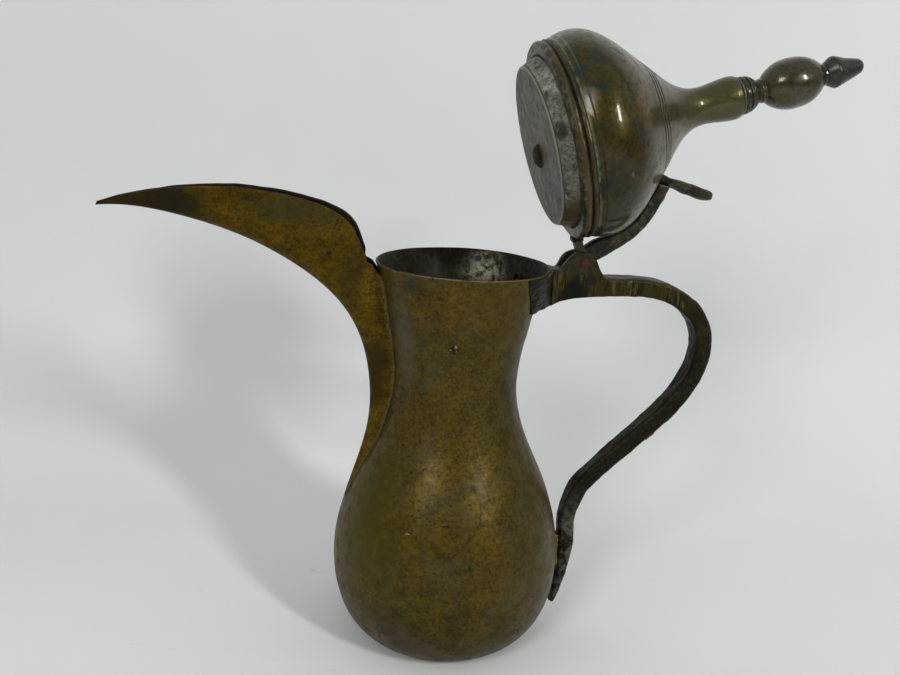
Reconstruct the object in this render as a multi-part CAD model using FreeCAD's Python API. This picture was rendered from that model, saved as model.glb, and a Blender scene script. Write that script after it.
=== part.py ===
import FreeCAD, Part
import math
import os

# A large Arabian dallah: raised brass pot, folded beak spout, cast handle with hinge ears, and a
# hollow onion lid that turns on one pin. Millimetres. The origin is the middle of the flat base,
# +Z up, +X towards the handle, and the beak points along -X. The lid is drawn shut and then
# swung back to the open position in which the pot rests.

# Pot body
BELLY_R = 60.0
BELLY_Z = 42.0
FOOT_R = 35.0
NECK_R = 31.6
NECK_Z = 140.0
RIM_R = 43.8
RIM_Z = 200.3
SHEET = 1.2
SLOT_HALF = 4.5
SLOT_Z = (128.0, 184.0)
BASE_PLATE_R = FOOT_R - 4.0

# Lid, heights measured from the underside of its plug
PLUG_DEPTH = 7.6
PLUG_Z = RIM_Z + 0.3 - PLUG_DEPTH
PLUG_TIP_R = 38.7
PLUG_TOP_R = 41.8
RING_R = 48.0
RING_TOP = 14.6
LID_SHEET = 1.0
DOME_R = 50.0
SPIRE_R = 10.6
SPIRE_TOP = 101.6
HOLLOW_TOP = 74.0
CUT_LINES = (53.4, 55.2, 57.0)
CUT_DEPTH = 0.35

# Hinge
HINGE_X = 60.5
HINGE_Z = 203.5
OPEN_ANGLE = 73.2
PIN_R = 2.0
PIN_RUNNING_GAP = 0.06
PIN_HEAD = 0.5
KNUCKLE_R = 5.4
KNUCKLE_WIDTH = 6.4
SLOT_WIDTH = 7.4
STOP_X = 67.0
BLOCK_WIDTH = 14.4
BLOCK_X = 44.6
SADDLE_TOP = RIM_Z - 0.6

# Rivets and the rod inside the finial
RIVET_R = 1.6
SADDLE_RIVET_Z = 189.8
SADDLE_RIVET_ANGLE = 31.0
SADDLE_RIVET_HEAD_R = 2.5
ROD_R = 2.5

UP = FreeCAD.Vector(0, 0, 1)
ACROSS = FreeCAD.Vector(0, 1, 0)
HINGE = FreeCAD.Vector(HINGE_X, 0, HINGE_Z)

# Outlines as (distance from the axis, height)
BODY_OUTLINE = [(BELLY_R, BELLY_Z), (51.1, 84.0), (36.3, 116.0), (NECK_R, NECK_Z),
                (34.2, 164.0), (39.0, 186.5), (RIM_R, RIM_Z)]
DOME_OUTLINE = [(47.9, RING_TOP), (DOME_R, 22.5), (49.4, 29.4), (45.4, 37.6), (34.6, 49.2),
                (22.6, 60.8), (13.4, 70.6), (9.5, 79.6), (10.0, 91.0), (SPIRE_R, 98.6)]

# Beak seen from the side as (x, z): the rounded keel and the open upper edge, from the
# foot of the spout on the belly to its tip, with half the width between them
SPOUT_KEEL = [(-55.5, 74.0), (-49.6, 94.0), (-44.2, 118.0), (-44.6, 140.0), (-52.0, 166.0),
              (-62.8, 181.3), (-79.0, 194.6), (-104.0, 208.2), (-137.0, 218.4), (-163.0, 222.0),
              (-174.4, 221.4)]
SPOUT_EDGE = [(-48.0, 74.0), (-34.0, 94.0), (-24.0, 118.0), (-22.0, 146.0), (-28.0, 180.0),
              (-49.2, 203.8), (-56.8, 218.0), (-78.0, 229.2), (-112.0, 233.4), (-157.0, 228.2),
              (-173.6, 223.2)]
SPOUT_HALF_WIDTH = [2.6, 4.8, 6.2, 6.8, 7.3, 8.6, 9.3, 8.8, 6.8, 3.0, 0.8]
SPOUT_STATIONS = 25

# Handle centre line as (x, z), with its depth and its width at even steps along it
HANDLE_LINE = [(66.0, 191.4), (84.0, 191.5), (100.0, 190.6), (114.2, 185.2), (124.8, 175.0),
               (129.0, 160.0), (126.2, 145.2), (117.0, 129.0), (100.8, 111.6), (84.8, 95.4),
               (71.2, 80.0), (66.2, 66.0), (66.0, 51.0), (65.9, 38.0), (64.2, 24.0), (60.8, 11.4)]
HANDLE_DEPTH = [9.4, 9.0, 8.6, 9.2, 9.2, 8.8, 8.6, 3.2]
HANDLE_WIDTH = [14.0, 13.8, 13.4, 11.8, 10.6, 10.0, 9.6, 8.4]
HANDLE_STATIONS = 30
BLOCK_RIVET = (63.4, 194.2, 2.6)
BOSS_SHARE = 0.535
BOSS_LENGTH = 6.0
BOSS_WIDTH = 5.4
GRIP_CHAMFER = 1.3

# Lid strap centre line, lid shut, as (x, height above the plug)
STRAP_LINE = [(58.8, 12.0), (57.0, 17.0), (55.9, 22.5), (54.6, 28.8), (51.4, 38.0), (44.4, 46.9),
              (34.6, 56.2), (28.9, 61.2)]
STRAP_DEPTH = [9.0, 9.8, 7.6, 6.4, 6.4, 6.8, 6.4, 6.0]
STRAP_WIDTH = [KNUCKLE_WIDTH, KNUCKLE_WIDTH, KNUCKLE_WIDTH, 9.0, 10.0, 10.0, 9.6, 9.2]
STRAP_STATIONS = 15
STRAP_RIVET = (37.8, 53.2)

# Thumb tab: where its lower face starts, how far it leans up from level, and its size
TAB_START = (36.2, 63.0)
TAB_RISE = 57.5
TAB_LENGTH = 20.5
TAB_WIDTH = 12.0
TAB_THICK = 3.9
TAB_ROUND_R = 7.7
TAB_ROOT = 12.0


def point(x, z, y=0.0):
    return FreeCAD.Vector(x, y, z)


def lines_between(ends):
    """Straight edges from each (x, z) to the next."""
    corners = [point(x, z) for x, z in ends]
    return [Part.makeLine(corners[index], corners[index + 1]) for index in range(len(ends) - 1)]


def polygon(points):
    return Part.makePolygon(points + [points[0]])


def curve_through(points, parameters=None):
    """A smooth curve through points, at given parameters when several curves must agree."""
    curve = Part.BSplineCurve()
    if parameters is None:
        curve.interpolate(Points=points)
    else:
        curve.interpolate(Points=points, Parameters=parameters)
    return curve


def blend(values, share):
    """The value a share of the way, 0 to 1, along evenly spaced values."""
    place = share * (len(values) - 1)
    low = min(int(place), len(values) - 2)
    return values[low] + (values[low + 1] - values[low]) * (place - low)


def turned(edges):
    """The solid made by turning a closed outline in the XZ plane about the Z axis."""
    wire = Part.Wire(Part.__sortEdges__(edges))
    return Part.Face(wire).revolve(FreeCAD.Vector(), UP, 360)


def turned_outline(outline):
    """The ring or solid made by turning a closed (radius, height) polygon."""
    points = [point(radius, height) for radius, height in outline]
    return turned(polygon(points).Edges)


def radius_at(curve, height):
    """The distance from the axis of a curve, which climbs all the way, at a height."""
    low, high = curve.FirstParameter, curve.LastParameter
    for _ in range(50):
        middle = (low + high) / 2
        if curve.value(middle).z < height:
            low = middle
        else:
            high = middle
    return curve.value(low).x


def inset(outline, thickness):
    """An outline moved towards the axis side by a thickness, square to itself."""
    moved = []
    for index, (radius, height) in enumerate(outline):
        before = outline[max(index - 1, 0)]
        after = outline[min(index + 1, len(outline) - 1)]
        run = math.hypot(after[0] - before[0], after[1] - before[1])
        moved.append((radius - thickness * (after[1] - before[1]) / run,
                      height + thickness * (after[0] - before[0]) / run))
    return moved


def cylinder(radius, start, end):
    return Part.makeCylinder(radius, (end - start).Length, start, end - start)


def across_bar(radius, x, z, width):
    """A round bar along Y, centred on the middle plane."""
    return cylinder(radius, point(x, z, -width / 2), point(x, z, width / 2))


def extruded(wire, width):
    """A flat outline in the XZ plane given a width along Y, centred on the middle plane."""
    face = Part.Face(wire)
    face.translate(point(0, 0, -width / 2))
    return face.extrude(point(0, 0, width))


def swung_open(shape):
    """A lid piece, drawn from the underside of the plug, put on the pot and swung back."""
    placed = shape.copy()
    placed.translate(point(0, PLUG_Z))
    placed.rotate(HINGE, ACROSS, OPEN_ANGLE)
    return placed


def bar_along(line, depths, widths, stations, chamfer):
    """A chamfered bar swept along a flat curve in the XZ plane, changing size as it goes."""
    curve = curve_through([point(x, z) for x, z in line])
    sections = []
    for index in range(stations):
        share = index / (stations - 1)
        place = curve.FirstParameter + share * (curve.LastParameter - curve.FirstParameter)
        middle = curve.value(place)
        outward = curve.tangent(place)[0].cross(ACROSS)
        depth = blend(depths, share) / 2
        width = blend(widths, share) / 2
        cut = min(chamfer, 0.45 * depth, 0.45 * width)
        corners = [(width, depth - cut), (width - cut, depth), (cut - width, depth),
                   (-width, depth - cut), (-width, cut - depth), (cut - width, -depth),
                   (width - cut, -depth), (width, cut - depth)]
        sections.append(polygon([middle + ACROSS * side + outward * rise for side, rise in corners]))
    return Part.makeLoft(sections, True, False)


# ---- pot body ----

def body_edges(outline, foot, floor):
    """Closed outline of the body: flat foot, quarter of an ellipse up to the belly, then a curve."""
    belly, belly_z = outline[0]
    quarter = math.pi / 2
    bowl = []
    for step in range(7):
        angle = quarter * step / 6
        bowl.append(point(foot + (belly - foot) * math.sin(angle),
                          floor + (belly_z - floor) * (1 - math.cos(angle))))
    side = curve_through(bowl + [point(radius, height) for radius, height in outline[1:]])
    top = outline[-1][1]
    ends = [outline[-1], (0, top), (0, floor), (foot, floor)]
    return [side.toShape()] + lines_between(ends), side


def body_solid(growth=0.0):
    """The whole pot as if solid, grown outwards by a little when asked."""
    edges, _ = body_edges([(radius + growth, height) for radius, height in BODY_OUTLINE],
                          FOOT_R + growth, 0.0)
    return turned(edges)


def body_radius(height):
    _, side = body_edges(BODY_OUTLINE, FOOT_R, 0.0)
    return radius_at(side, height)


def body_hollow():
    outline = inset(BODY_OUTLINE, SHEET)
    outline.append((outline[-1][0] + 1.6, RIM_Z + 3.0))
    edges, _ = body_edges(outline, FOOT_R - SHEET, SHEET)
    return turned(edges)


def pour_slot():
    """The slot through the neck by which the coffee reaches the spout."""
    low, high = SLOT_Z
    slot = Part.makeBox(40, 2 * SLOT_HALF, high - low, point(-60, low, -SLOT_HALF))
    for height in (low, high):
        slot = slot.fuse(cylinder(SLOT_HALF, point(-60, height), point(-20, height)))
    return slot


def base_plate():
    """The round sheet let into the foot."""
    return Part.makeCylinder(BASE_PLATE_R, SHEET + 0.6, FreeCAD.Vector())


def body_shell():
    shell = body_solid().cut(body_hollow()).cut(pour_slot()).cut(base_plate())
    return shell.cut(saddle_rivet_shanks())


# ---- spout ----

def spout_section(keel, edge, half):
    """A round-bottomed V that stands on the keel point and opens at the edge point."""
    rise = edge - keel
    shape = [(-1.0, 1.0), (-0.97, 0.66), (-0.78, 0.26), (-0.42, 0.055), (0.0, 0.0),
             (0.42, 0.055), (0.78, 0.26), (0.97, 0.66), (1.0, 1.0)]
    steps = [index / (len(shape) - 1) for index in range(len(shape))]
    side = curve_through([keel + ACROSS * (half * across) + rise * up for across, up in shape], steps)
    lid = Part.makeLine(side.value(side.LastParameter), side.value(side.FirstParameter))
    return Part.Wire([side.toShape(), lid])


def spout_body(wall, first, last, above):
    """The beak as a solid, drawn in by a wall thickness and reaching above its open edge."""
    keels = curve_through([point(x, z) for x, z in SPOUT_KEEL])
    edges = curve_through([point(x, z) for x, z in SPOUT_EDGE])
    sections = []
    for index in range(first, last):
        share = index / (SPOUT_STATIONS - 1)
        keel = keels.value(keels.FirstParameter + share * (keels.LastParameter - keels.FirstParameter))
        edge = edges.value(edges.FirstParameter + share * (edges.LastParameter - edges.FirstParameter))
        rise = edge - keel
        rise.normalize()
        half = max(blend(SPOUT_HALF_WIDTH, share) - wall, 0.3)
        sections.append(spout_section(keel + rise * wall, edge + rise * above, half))
    return Part.makeLoft(sections, True, False)


def spout():
    outside = spout_body(0.0, 0, SPOUT_STATIONS, 0.0)
    inside = spout_body(SHEET, 1, SPOUT_STATIONS - 2, 3.0)
    return outside.cut(inside).cut(body_solid())


def spout_seam_solder():
    """The bead of solder down both sides of the spout where it meets the neck."""
    wide = spout_body(-1.1, 1, SPOUT_STATIONS - 1, -2.0)
    bead = wide.common(body_solid(0.7))
    return bead.cut(spout_body(0.0, 0, SPOUT_STATIONS, 0.0)).cut(body_solid())


# ---- saddle, handle and hinge pin ----

def saddle_outline(height, flare):
    """Plan of the saddle at one height: flat against the handle block, flared round the neck."""
    half = BLOCK_WIDTH / 2
    near = curve_through([point(BLOCK_X, height, half)] + [point(x, height, y) for x, y in flare])
    far = curve_through([point(x, height, -y) for x, y in reversed(flare)]
                        + [point(BLOCK_X, height, -half)])
    tip_x, tip_y = flare[-1]
    back = Part.makeLine(point(tip_x, height, tip_y), point(tip_x, height, -tip_y))
    front = Part.makeLine(point(BLOCK_X, height, -half), point(BLOCK_X, height, half))
    return Part.Wire([near.toShape(), back, far.toShape(), front])


def saddle_blank():
    low = saddle_outline(172.0, [(39.6, 9.8), (35.6, 12.6), (31.0, 15.0)])
    high = saddle_outline(SADDLE_TOP, [(42.8, 14.4), (37.4, 26.0), (26.4, 35.8)])
    blank = Part.makeLoft([low, high], True, True)
    below = Part.makeBox(60, 100, 30, point(10, 149.4, -50))
    below.rotate(point(34, 179.4), ACROSS, -10)
    return blank.cut(below)


def neck_saddle():
    return saddle_blank().cut(body_solid()).cut(saddle_rivet_shanks())


def saddle_rivet_axes():
    """The way out through each saddle rivet, one in each wing, from the axis of the neck."""
    angles = [math.radians(side * SADDLE_RIVET_ANGLE) for side in (-1, 1)]
    return [point(math.cos(angle), 0, math.sin(angle)) for angle in angles]


def saddle_rivet_shanks():
    """Shanks through the wall and the saddle, filed flush with the saddle outside."""
    middle = point(0, SADDLE_RIVET_Z)
    start, end = [(middle + outward * NECK_R, middle + outward * BELLY_R)
                  for outward in saddle_rivet_axes()]
    shanks = cylinder(RIVET_R, *start).fuse(cylinder(RIVET_R, *end))
    return shanks.common(saddle_blank()).cut(body_hollow())


def saddle_rivets():
    """Two rivets with hollow-ended heads standing on the inside of the neck."""
    rivets = saddle_rivet_shanks()
    hollow = body_hollow()
    wall = body_radius(SADDLE_RIVET_Z) - SHEET + 0.2
    for outward in saddle_rivet_axes():
        seat = point(0, SADDLE_RIVET_Z) + outward * wall
        face = seat - outward * 2.0
        head = cylinder(SADDLE_RIVET_HEAD_R, face, seat).common(hollow)
        rivets = rivets.fuse(head.cut(cylinder(RIVET_R - 0.4, face, face + outward * 0.8)))
    return rivets


def hinge_ears():
    """Rounded block that stands on the handle and carries the pin."""
    outline = [(47.6, 196.6), (49.6, 202.0), (53.4, 206.7), (59.4, 208.8), (64.8, 206.9),
               (67.8, 201.8), (73.0, 195.6)]
    top = curve_through([point(x, z) for x, z in outline])
    base = Part.makeLine(point(*outline[-1]), point(*outline[0]))
    return extruded(Part.Wire([top.toShape(), base]), BLOCK_WIDTH)


def hinge_slot():
    """The gap between the ears, open towards the pot and closed by the stop behind."""
    start = point(BLOCK_X - 5.0, RIM_Z - 0.3, -SLOT_WIDTH / 2)
    gap = Part.makeBox(STOP_X - start.x, SLOT_WIDTH, 15.0, start)
    return gap.fuse(across_bar(KNUCKLE_R + 0.6, HINGE_X, HINGE_Z, SLOT_WIDTH))


def handle_block():
    """The thick start of the handle, between the saddle and the grip."""
    under = [(BLOCK_X, 180.6), (50.5, 183.6), (58.5, 185.5), (72.0, 186.7)]
    side = curve_through([point(x, z) for x, z in under])
    ends = [under[-1], (72.0, 196.1), (66.0, 197.0), (BLOCK_X, SADDLE_TOP), under[0]]
    return extruded(Part.Wire([side.toShape()] + lines_between(ends)), BLOCK_WIDTH)


def handle_boss():
    """The stub left on the outside of the grip where the metal was poured."""
    curve = curve_through([point(x, z) for x, z in HANDLE_LINE])
    place = curve.FirstParameter + BOSS_SHARE * (curve.LastParameter - curve.FirstParameter)
    along = curve.tangent(place)[0]
    outward = along.cross(ACROSS)
    boss = Part.makeBox(BOSS_LENGTH, BOSS_WIDTH, 6.0,
                        FreeCAD.Vector(-BOSS_LENGTH / 2, -BOSS_WIDTH / 2, 0))
    boss.Placement = FreeCAD.Placement(curve.value(place),
                                       FreeCAD.Rotation(along, ACROSS, outward, "ZXY"))
    return boss


def handle():
    grip = bar_along(HANDLE_LINE, HANDLE_DEPTH, HANDLE_WIDTH, HANDLE_STATIONS, GRIP_CHAMFER)
    solid = grip.fuse([handle_block(), hinge_ears(), handle_boss()])
    x, z, radius = BLOCK_RIVET
    holes = across_bar(PIN_R, HINGE_X, HINGE_Z, 30).fuse(across_bar(radius, x, z, 30))
    return solid.cut(hinge_slot()).cut(holes).removeSplitter()


def block_rivet():
    x, z, radius = BLOCK_RIVET
    return across_bar(radius, x, z, BLOCK_WIDTH)


def hinge_pin():
    """A copper pin, its two ends spread into flat heads on the ears."""
    pin = across_bar(PIN_R, HINGE_X, HINGE_Z, BLOCK_WIDTH)
    for side in (-1, 1):
        face = point(HINGE_X, HINGE_Z, side * BLOCK_WIDTH / 2)
        pin = pin.fuse(cylinder(PIN_R + 0.4, face, face + ACROSS * (PIN_HEAD * side)))
    return pin


def tail_solder():
    """The patch that fills the gap between the belly and the tail of the handle."""
    grip = bar_along(HANDLE_LINE, HANDLE_DEPTH, HANDLE_WIDTH, HANDLE_STATIONS, GRIP_CHAMFER)
    return Part.makeBox(14, 7, 18, point(50, 34, -3.5)).cut(body_solid()).cut(grip)


# ---- lid, drawn from the underside of its plug ----

def closing_disc():
    """The sheet that closes the bottom of the plug."""
    return turned_outline([(0, 0), (PLUG_TIP_R - 0.4, 0), (PLUG_TIP_R, 0.3), (PLUG_TIP_R, 0.9), (0, 0.9)])


def disc_tab():
    """The little upright tab in the middle of the closing disc."""
    length, thick, out = 11.4, 1.4, 3.5
    tab = Part.makeBox(length, thick, out, point(-1.5, -out, -thick / 2))
    return tab.makeFillet(0.5, [edge for edge in tab.Edges if abs(edge.CenterOfMass.z + out) < 0.01])


def lid_plug_wall():
    wall = LID_SHEET
    return turned_outline([(PLUG_TIP_R - wall, 0.9), (PLUG_TIP_R, 0.9), (PLUG_TOP_R, PLUG_DEPTH),
                           (PLUG_TOP_R, RING_TOP), (PLUG_TOP_R - wall, RING_TOP),
                           (PLUG_TOP_R - wall, PLUG_DEPTH)])


def lid_rim_ring():
    """The heavy ring that rests on the rim of the pot."""
    ridge = [(45.8, PLUG_DEPTH), (47.5, 8.4), (RING_R, 9.8), (47.6, 11.2), (46.9, 11.9)]
    round_side = curve_through([point(radius, height) for radius, height in ridge])
    ends = [ridge[-1], (47.7, 12.5), (48.2, 13.5), DOME_OUTLINE[0], (PLUG_TOP_R, RING_TOP),
            (PLUG_TOP_R, PLUG_DEPTH), ridge[0]]
    return turned([round_side.toShape()] + lines_between(ends))


def dome_curve():
    return curve_through([point(radius, height) for radius, height in DOME_OUTLINE])


def dome_solid():
    """The lid above its ring as if solid: the onion, its waist and the flared spire."""
    ends = [DOME_OUTLINE[-1], (SPIRE_R - 0.3, 100.7), (9.4, SPIRE_TOP), (0, SPIRE_TOP), (0, RING_TOP),
            DOME_OUTLINE[0]]
    return turned([dome_curve().toShape()] + lines_between(ends))


def dome_hollow():
    outline = inset(DOME_OUTLINE[:7], LID_SHEET)
    side = curve_through([point(radius, height) for radius, height in outline])
    low, high = outline[0], outline[-1]
    ends = [high, (3.0, HOLLOW_TOP), (0, HOLLOW_TOP), (0, RING_TOP - 2), (low[0], RING_TOP - 2), low]
    return turned([side.toShape()] + lines_between(ends))


def lid_dome():
    """The raised sheet of the lid, with three fine lines cut round its shoulder."""
    dome = dome_solid().cut(dome_hollow())
    curve = dome_curve()
    for height in CUT_LINES:
        dome = dome.cut(Part.makeTorus(radius_at(curve, height), CUT_DEPTH, point(0, height)))
    return dome.cut(finial_rod()).cut(strap_rivet_shank())


def finial_rod():
    """The rod that strings the finial together, out of sight."""
    return Part.makeCylinder(ROD_R, 60.0, point(0, 92.0))


def finial_washer():
    return turned_outline([(ROD_R + 0.1, SPIRE_TOP), (9.1, SPIRE_TOP), (9.6, 102.0), (9.6, 102.6),
                           (9.1, 103.0), (ROD_R + 0.1, 103.0)])


def finial_collar():
    """The grooved collar at the foot of the finial."""
    return turned_outline([(ROD_R, 103.0), (8.6, 103.0), (9.3, 104.0), (9.2, 105.4), (8.3, 105.9),
                           (8.9, 106.4), (8.6, 107.8), (7.8, 108.2), (8.0, 108.8), (6.7, 110.6),
                           (5.7, 111.8), (5.5, 112.8), (ROD_R, 112.8)])


def finial_egg():
    """The egg with a thin neck and a bead below it."""
    egg = [(5.4, 114.8), (9.6, 119.2), (11.9, 125.0), (12.3, 130.6), (11.2, 137.2), (8.4, 142.4),
           (5.2, 145.8)]
    side = curve_through([point(radius, height) for radius, height in egg])
    ends = [egg[-1], (5.2, 147.0), (ROD_R, 147.0), (ROD_R, 112.8), (5.5, 112.8), (6.0, 113.6), egg[0]]
    return turned([side.toShape()] + lines_between(ends))


def finial_cone():
    """The blunt cone at the tip."""
    solid = turned_outline([(0, 147.0), (5.2, 147.0), (5.8, 148.0), (7.7, 151.8), (7.6, 152.8),
                            (3.7, 165.2), (2.7, 166.6), (0, 167.0)])
    return solid.cut(finial_rod())


def strap_bar():
    return bar_along(STRAP_LINE, STRAP_DEPTH, STRAP_WIDTH, STRAP_STATIONS, 0.9)


def thumb_tab_block(length, thick, drop):
    """A block lying along the thumb tab, drop being how far it starts below the lower face."""
    block = Part.makeBox(length, 60, thick, FreeCAD.Vector(-TAB_ROOT, -30, -drop))
    block.rotate(FreeCAD.Vector(), ACROSS, -TAB_RISE)
    block.translate(point(*TAB_START))
    return block


def lid_strap():
    """The strap from the hinge knuckle up the back of the lid to the thumb tab."""
    foot = Part.makeBox(8.0, KNUCKLE_WIDTH, 3.8, point(49.4, 8.4, -KNUCKLE_WIDTH / 2))
    hinge_z = HINGE_Z - PLUG_Z
    knuckle = across_bar(KNUCKLE_R, HINGE_X, hinge_z, KNUCKLE_WIDTH)
    strap = strap_bar().fuse([foot, knuckle])
    strap = strap.cut(across_bar(PIN_R + PIN_RUNNING_GAP, HINGE_X, hinge_z, 20))
    above_tab = thumb_tab_block(80, 40, 0)
    return strap.cut(above_tab).cut(dome_solid()).cut(strap_rivet_shank()).removeSplitter()


def thumb_tab():
    """The leaf that the thumb presses to lift the lid: flat above, round below and at its end."""
    leaf = thumb_tab_block(TAB_ROOT + TAB_LENGTH, TAB_THICK, 0)
    half = TAB_WIDTH / 2
    length = TAB_ROOT + TAB_LENGTH - half
    plan = Part.makeBox(length, TAB_WIDTH, 20, FreeCAD.Vector(-TAB_ROOT, -half, -10))
    plan = plan.fuse(Part.makeCylinder(half, 20, FreeCAD.Vector(TAB_LENGTH - half, 0, -10)))
    below = Part.makeCylinder(TAB_ROUND_R, TAB_ROOT + TAB_LENGTH,
                              FreeCAD.Vector(-TAB_ROOT, 0, TAB_ROUND_R), FreeCAD.Vector(1, 0, 0))
    plan = plan.common(below)
    plan.rotate(FreeCAD.Vector(), ACROSS, -TAB_RISE)
    plan.translate(point(*TAB_START))
    return leaf.common(plan).cut(dome_solid())


def strap_rivet_line():
    """A point in the strap above its rivet, and the direction out of the lid."""
    x, height = STRAP_RIVET
    angle = math.radians(45.0)
    return point(x, height), point(math.cos(angle), math.sin(angle))


def strap_rivet_shank():
    middle, outward = strap_rivet_line()
    return cylinder(RIVET_R, middle - outward * 8.0, middle + outward * 8.0)


def strap_rivet():
    """The rivet that ties the top of the strap through the lid, with a low round head."""
    middle, outward = strap_rivet_line()
    face = middle + outward * 3.4
    head = Part.makeSphere(4.0, face - outward * 2.6)
    head = head.common(cylinder(3.4, face, face + outward * 4.0))
    shank = cylinder(RIVET_R, middle - outward * 6.6, face + outward * 0.4)
    return shank.fuse(head).cut(lid_strap())


def strap_foot_solder():
    """The lump of solder between the ring of the lid and the foot of the strap."""
    width = KNUCKLE_WIDTH - 0.4
    lump = Part.makeBox(5.0, width, 3.2, point(45.4, 8.7, -width / 2))
    return lump.cut(lid_rim_ring()).cut(dome_solid()).cut(lid_strap())


POT_PIECES = [body_shell, base_plate, spout, spout_seam_solder, neck_saddle, saddle_rivets, handle,
              block_rivet, hinge_pin, tail_solder]
LID_PIECES = [closing_disc, disc_tab, lid_plug_wall, lid_rim_ring, lid_dome, finial_rod,
              finial_washer, finial_collar, finial_egg, finial_cone, lid_strap, thumb_tab,
              strap_rivet, strap_foot_solder]

os.makedirs("parts", exist_ok=True)
for piece in POT_PIECES:
    piece().exportStep("parts/" + piece.__name__ + ".step")
for piece in LID_PIECES:
    swung_open(piece()).exportStep("parts/" + piece.__name__ + ".step")
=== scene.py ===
import bpy
import bmesh
import math
import numpy as np
from mathutils import Matrix, Vector


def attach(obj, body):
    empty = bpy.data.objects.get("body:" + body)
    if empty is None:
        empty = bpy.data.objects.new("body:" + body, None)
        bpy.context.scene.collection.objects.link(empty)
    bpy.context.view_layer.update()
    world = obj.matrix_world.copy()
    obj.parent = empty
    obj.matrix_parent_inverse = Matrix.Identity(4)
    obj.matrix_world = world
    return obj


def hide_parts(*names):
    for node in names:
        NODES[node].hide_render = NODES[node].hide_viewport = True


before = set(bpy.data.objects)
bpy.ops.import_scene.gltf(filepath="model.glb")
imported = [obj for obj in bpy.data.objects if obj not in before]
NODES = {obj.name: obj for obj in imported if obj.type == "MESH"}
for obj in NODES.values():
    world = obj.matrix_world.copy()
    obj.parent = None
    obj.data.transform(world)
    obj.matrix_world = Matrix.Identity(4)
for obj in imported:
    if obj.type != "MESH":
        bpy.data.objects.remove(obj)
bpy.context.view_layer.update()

MM = 0.001
CLOSED_LID_Z = 0.193
HINGE = Vector((0.0605, 0.0, 0.2035))
OPEN = math.radians(73.2)
LID_PLACE = (Matrix.Translation(HINGE) @ Matrix.Rotation(OPEN, 4, "Y") @ Matrix.Translation(-HINGE)
             @ Matrix.Translation((0, 0, CLOSED_LID_Z)))


def linked(name, data):
    """A new object in the scene."""
    made = bpy.data.objects.new(name, data)
    bpy.context.scene.collection.objects.link(made)
    return made


# ---- camera ----
DISTANCE, HEIGHT, AROUND = 0.4418, 0.2823, math.radians(8.64)
HEADING = AROUND - math.radians(0.55)
PITCH, ROLL = math.radians(15.31), math.radians(3.56)


def make_camera():
    look = Vector((math.sin(HEADING) * math.cos(PITCH), math.cos(HEADING) * math.cos(PITCH), -math.sin(PITCH)))
    level = Vector((math.cos(HEADING), -math.sin(HEADING), 0))
    over = level.cross(look)
    right = level * math.cos(ROLL) + over * math.sin(ROLL)
    up = over * math.cos(ROLL) - level * math.sin(ROLL)
    data = bpy.data.cameras.new("camera")
    data.sensor_width, data.lens = 36.0, 36.0
    data.clip_start, data.clip_end = 0.01, 20.0
    camera = linked("camera", data)
    matrix = Matrix((right, up, -look)).transposed().to_4x4()
    matrix.translation = (-DISTANCE * math.sin(AROUND), -DISTANCE * math.cos(AROUND), HEIGHT)
    camera.matrix_world = matrix
    bpy.context.scene.camera = camera


# ---- shader building ----
class Nodes:
    """A small helper round a node tree. Sockets or plain numbers go in, sockets come out."""

    def __init__(self, tree):
        self.tree = tree

    def node(self, kind, inputs=None, **settings):
        made = self.tree.nodes.new(kind)
        for key, value in settings.items():
            setattr(made, key, value)
        for key, value in (inputs or {}).items():
            self.feed(made.inputs[key], value)
        return made

    def feed(self, socket, value):
        if isinstance(value, bpy.types.NodeSocket):
            self.tree.links.new(value, socket)
        elif isinstance(value, (tuple, list)) and socket.type == "RGBA":
            socket.default_value = (*value[:3], 1.0)
        else:
            socket.default_value = value

    def ramp(self, value, low, high, bottom=0.0, top=1.0):
        """Bottom where the value is low, top where it is high, eased in between."""
        return self.node("ShaderNodeMapRange", {"Value": value, "From Min": low, "From Max": high, "To Min": bottom,
                                                "To Max": top}, interpolation_type="SMOOTHSTEP").outputs["Result"]

    def math(self, operation, first, second=0.0):
        return self.node("ShaderNodeMath", {0: first, 1: second}, operation=operation).outputs["Value"]

    def both(self, first, second):
        return self.math("MULTIPLY", first, second)

    def plus(self, first, second):
        return self.math("ADD", first, second)


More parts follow.
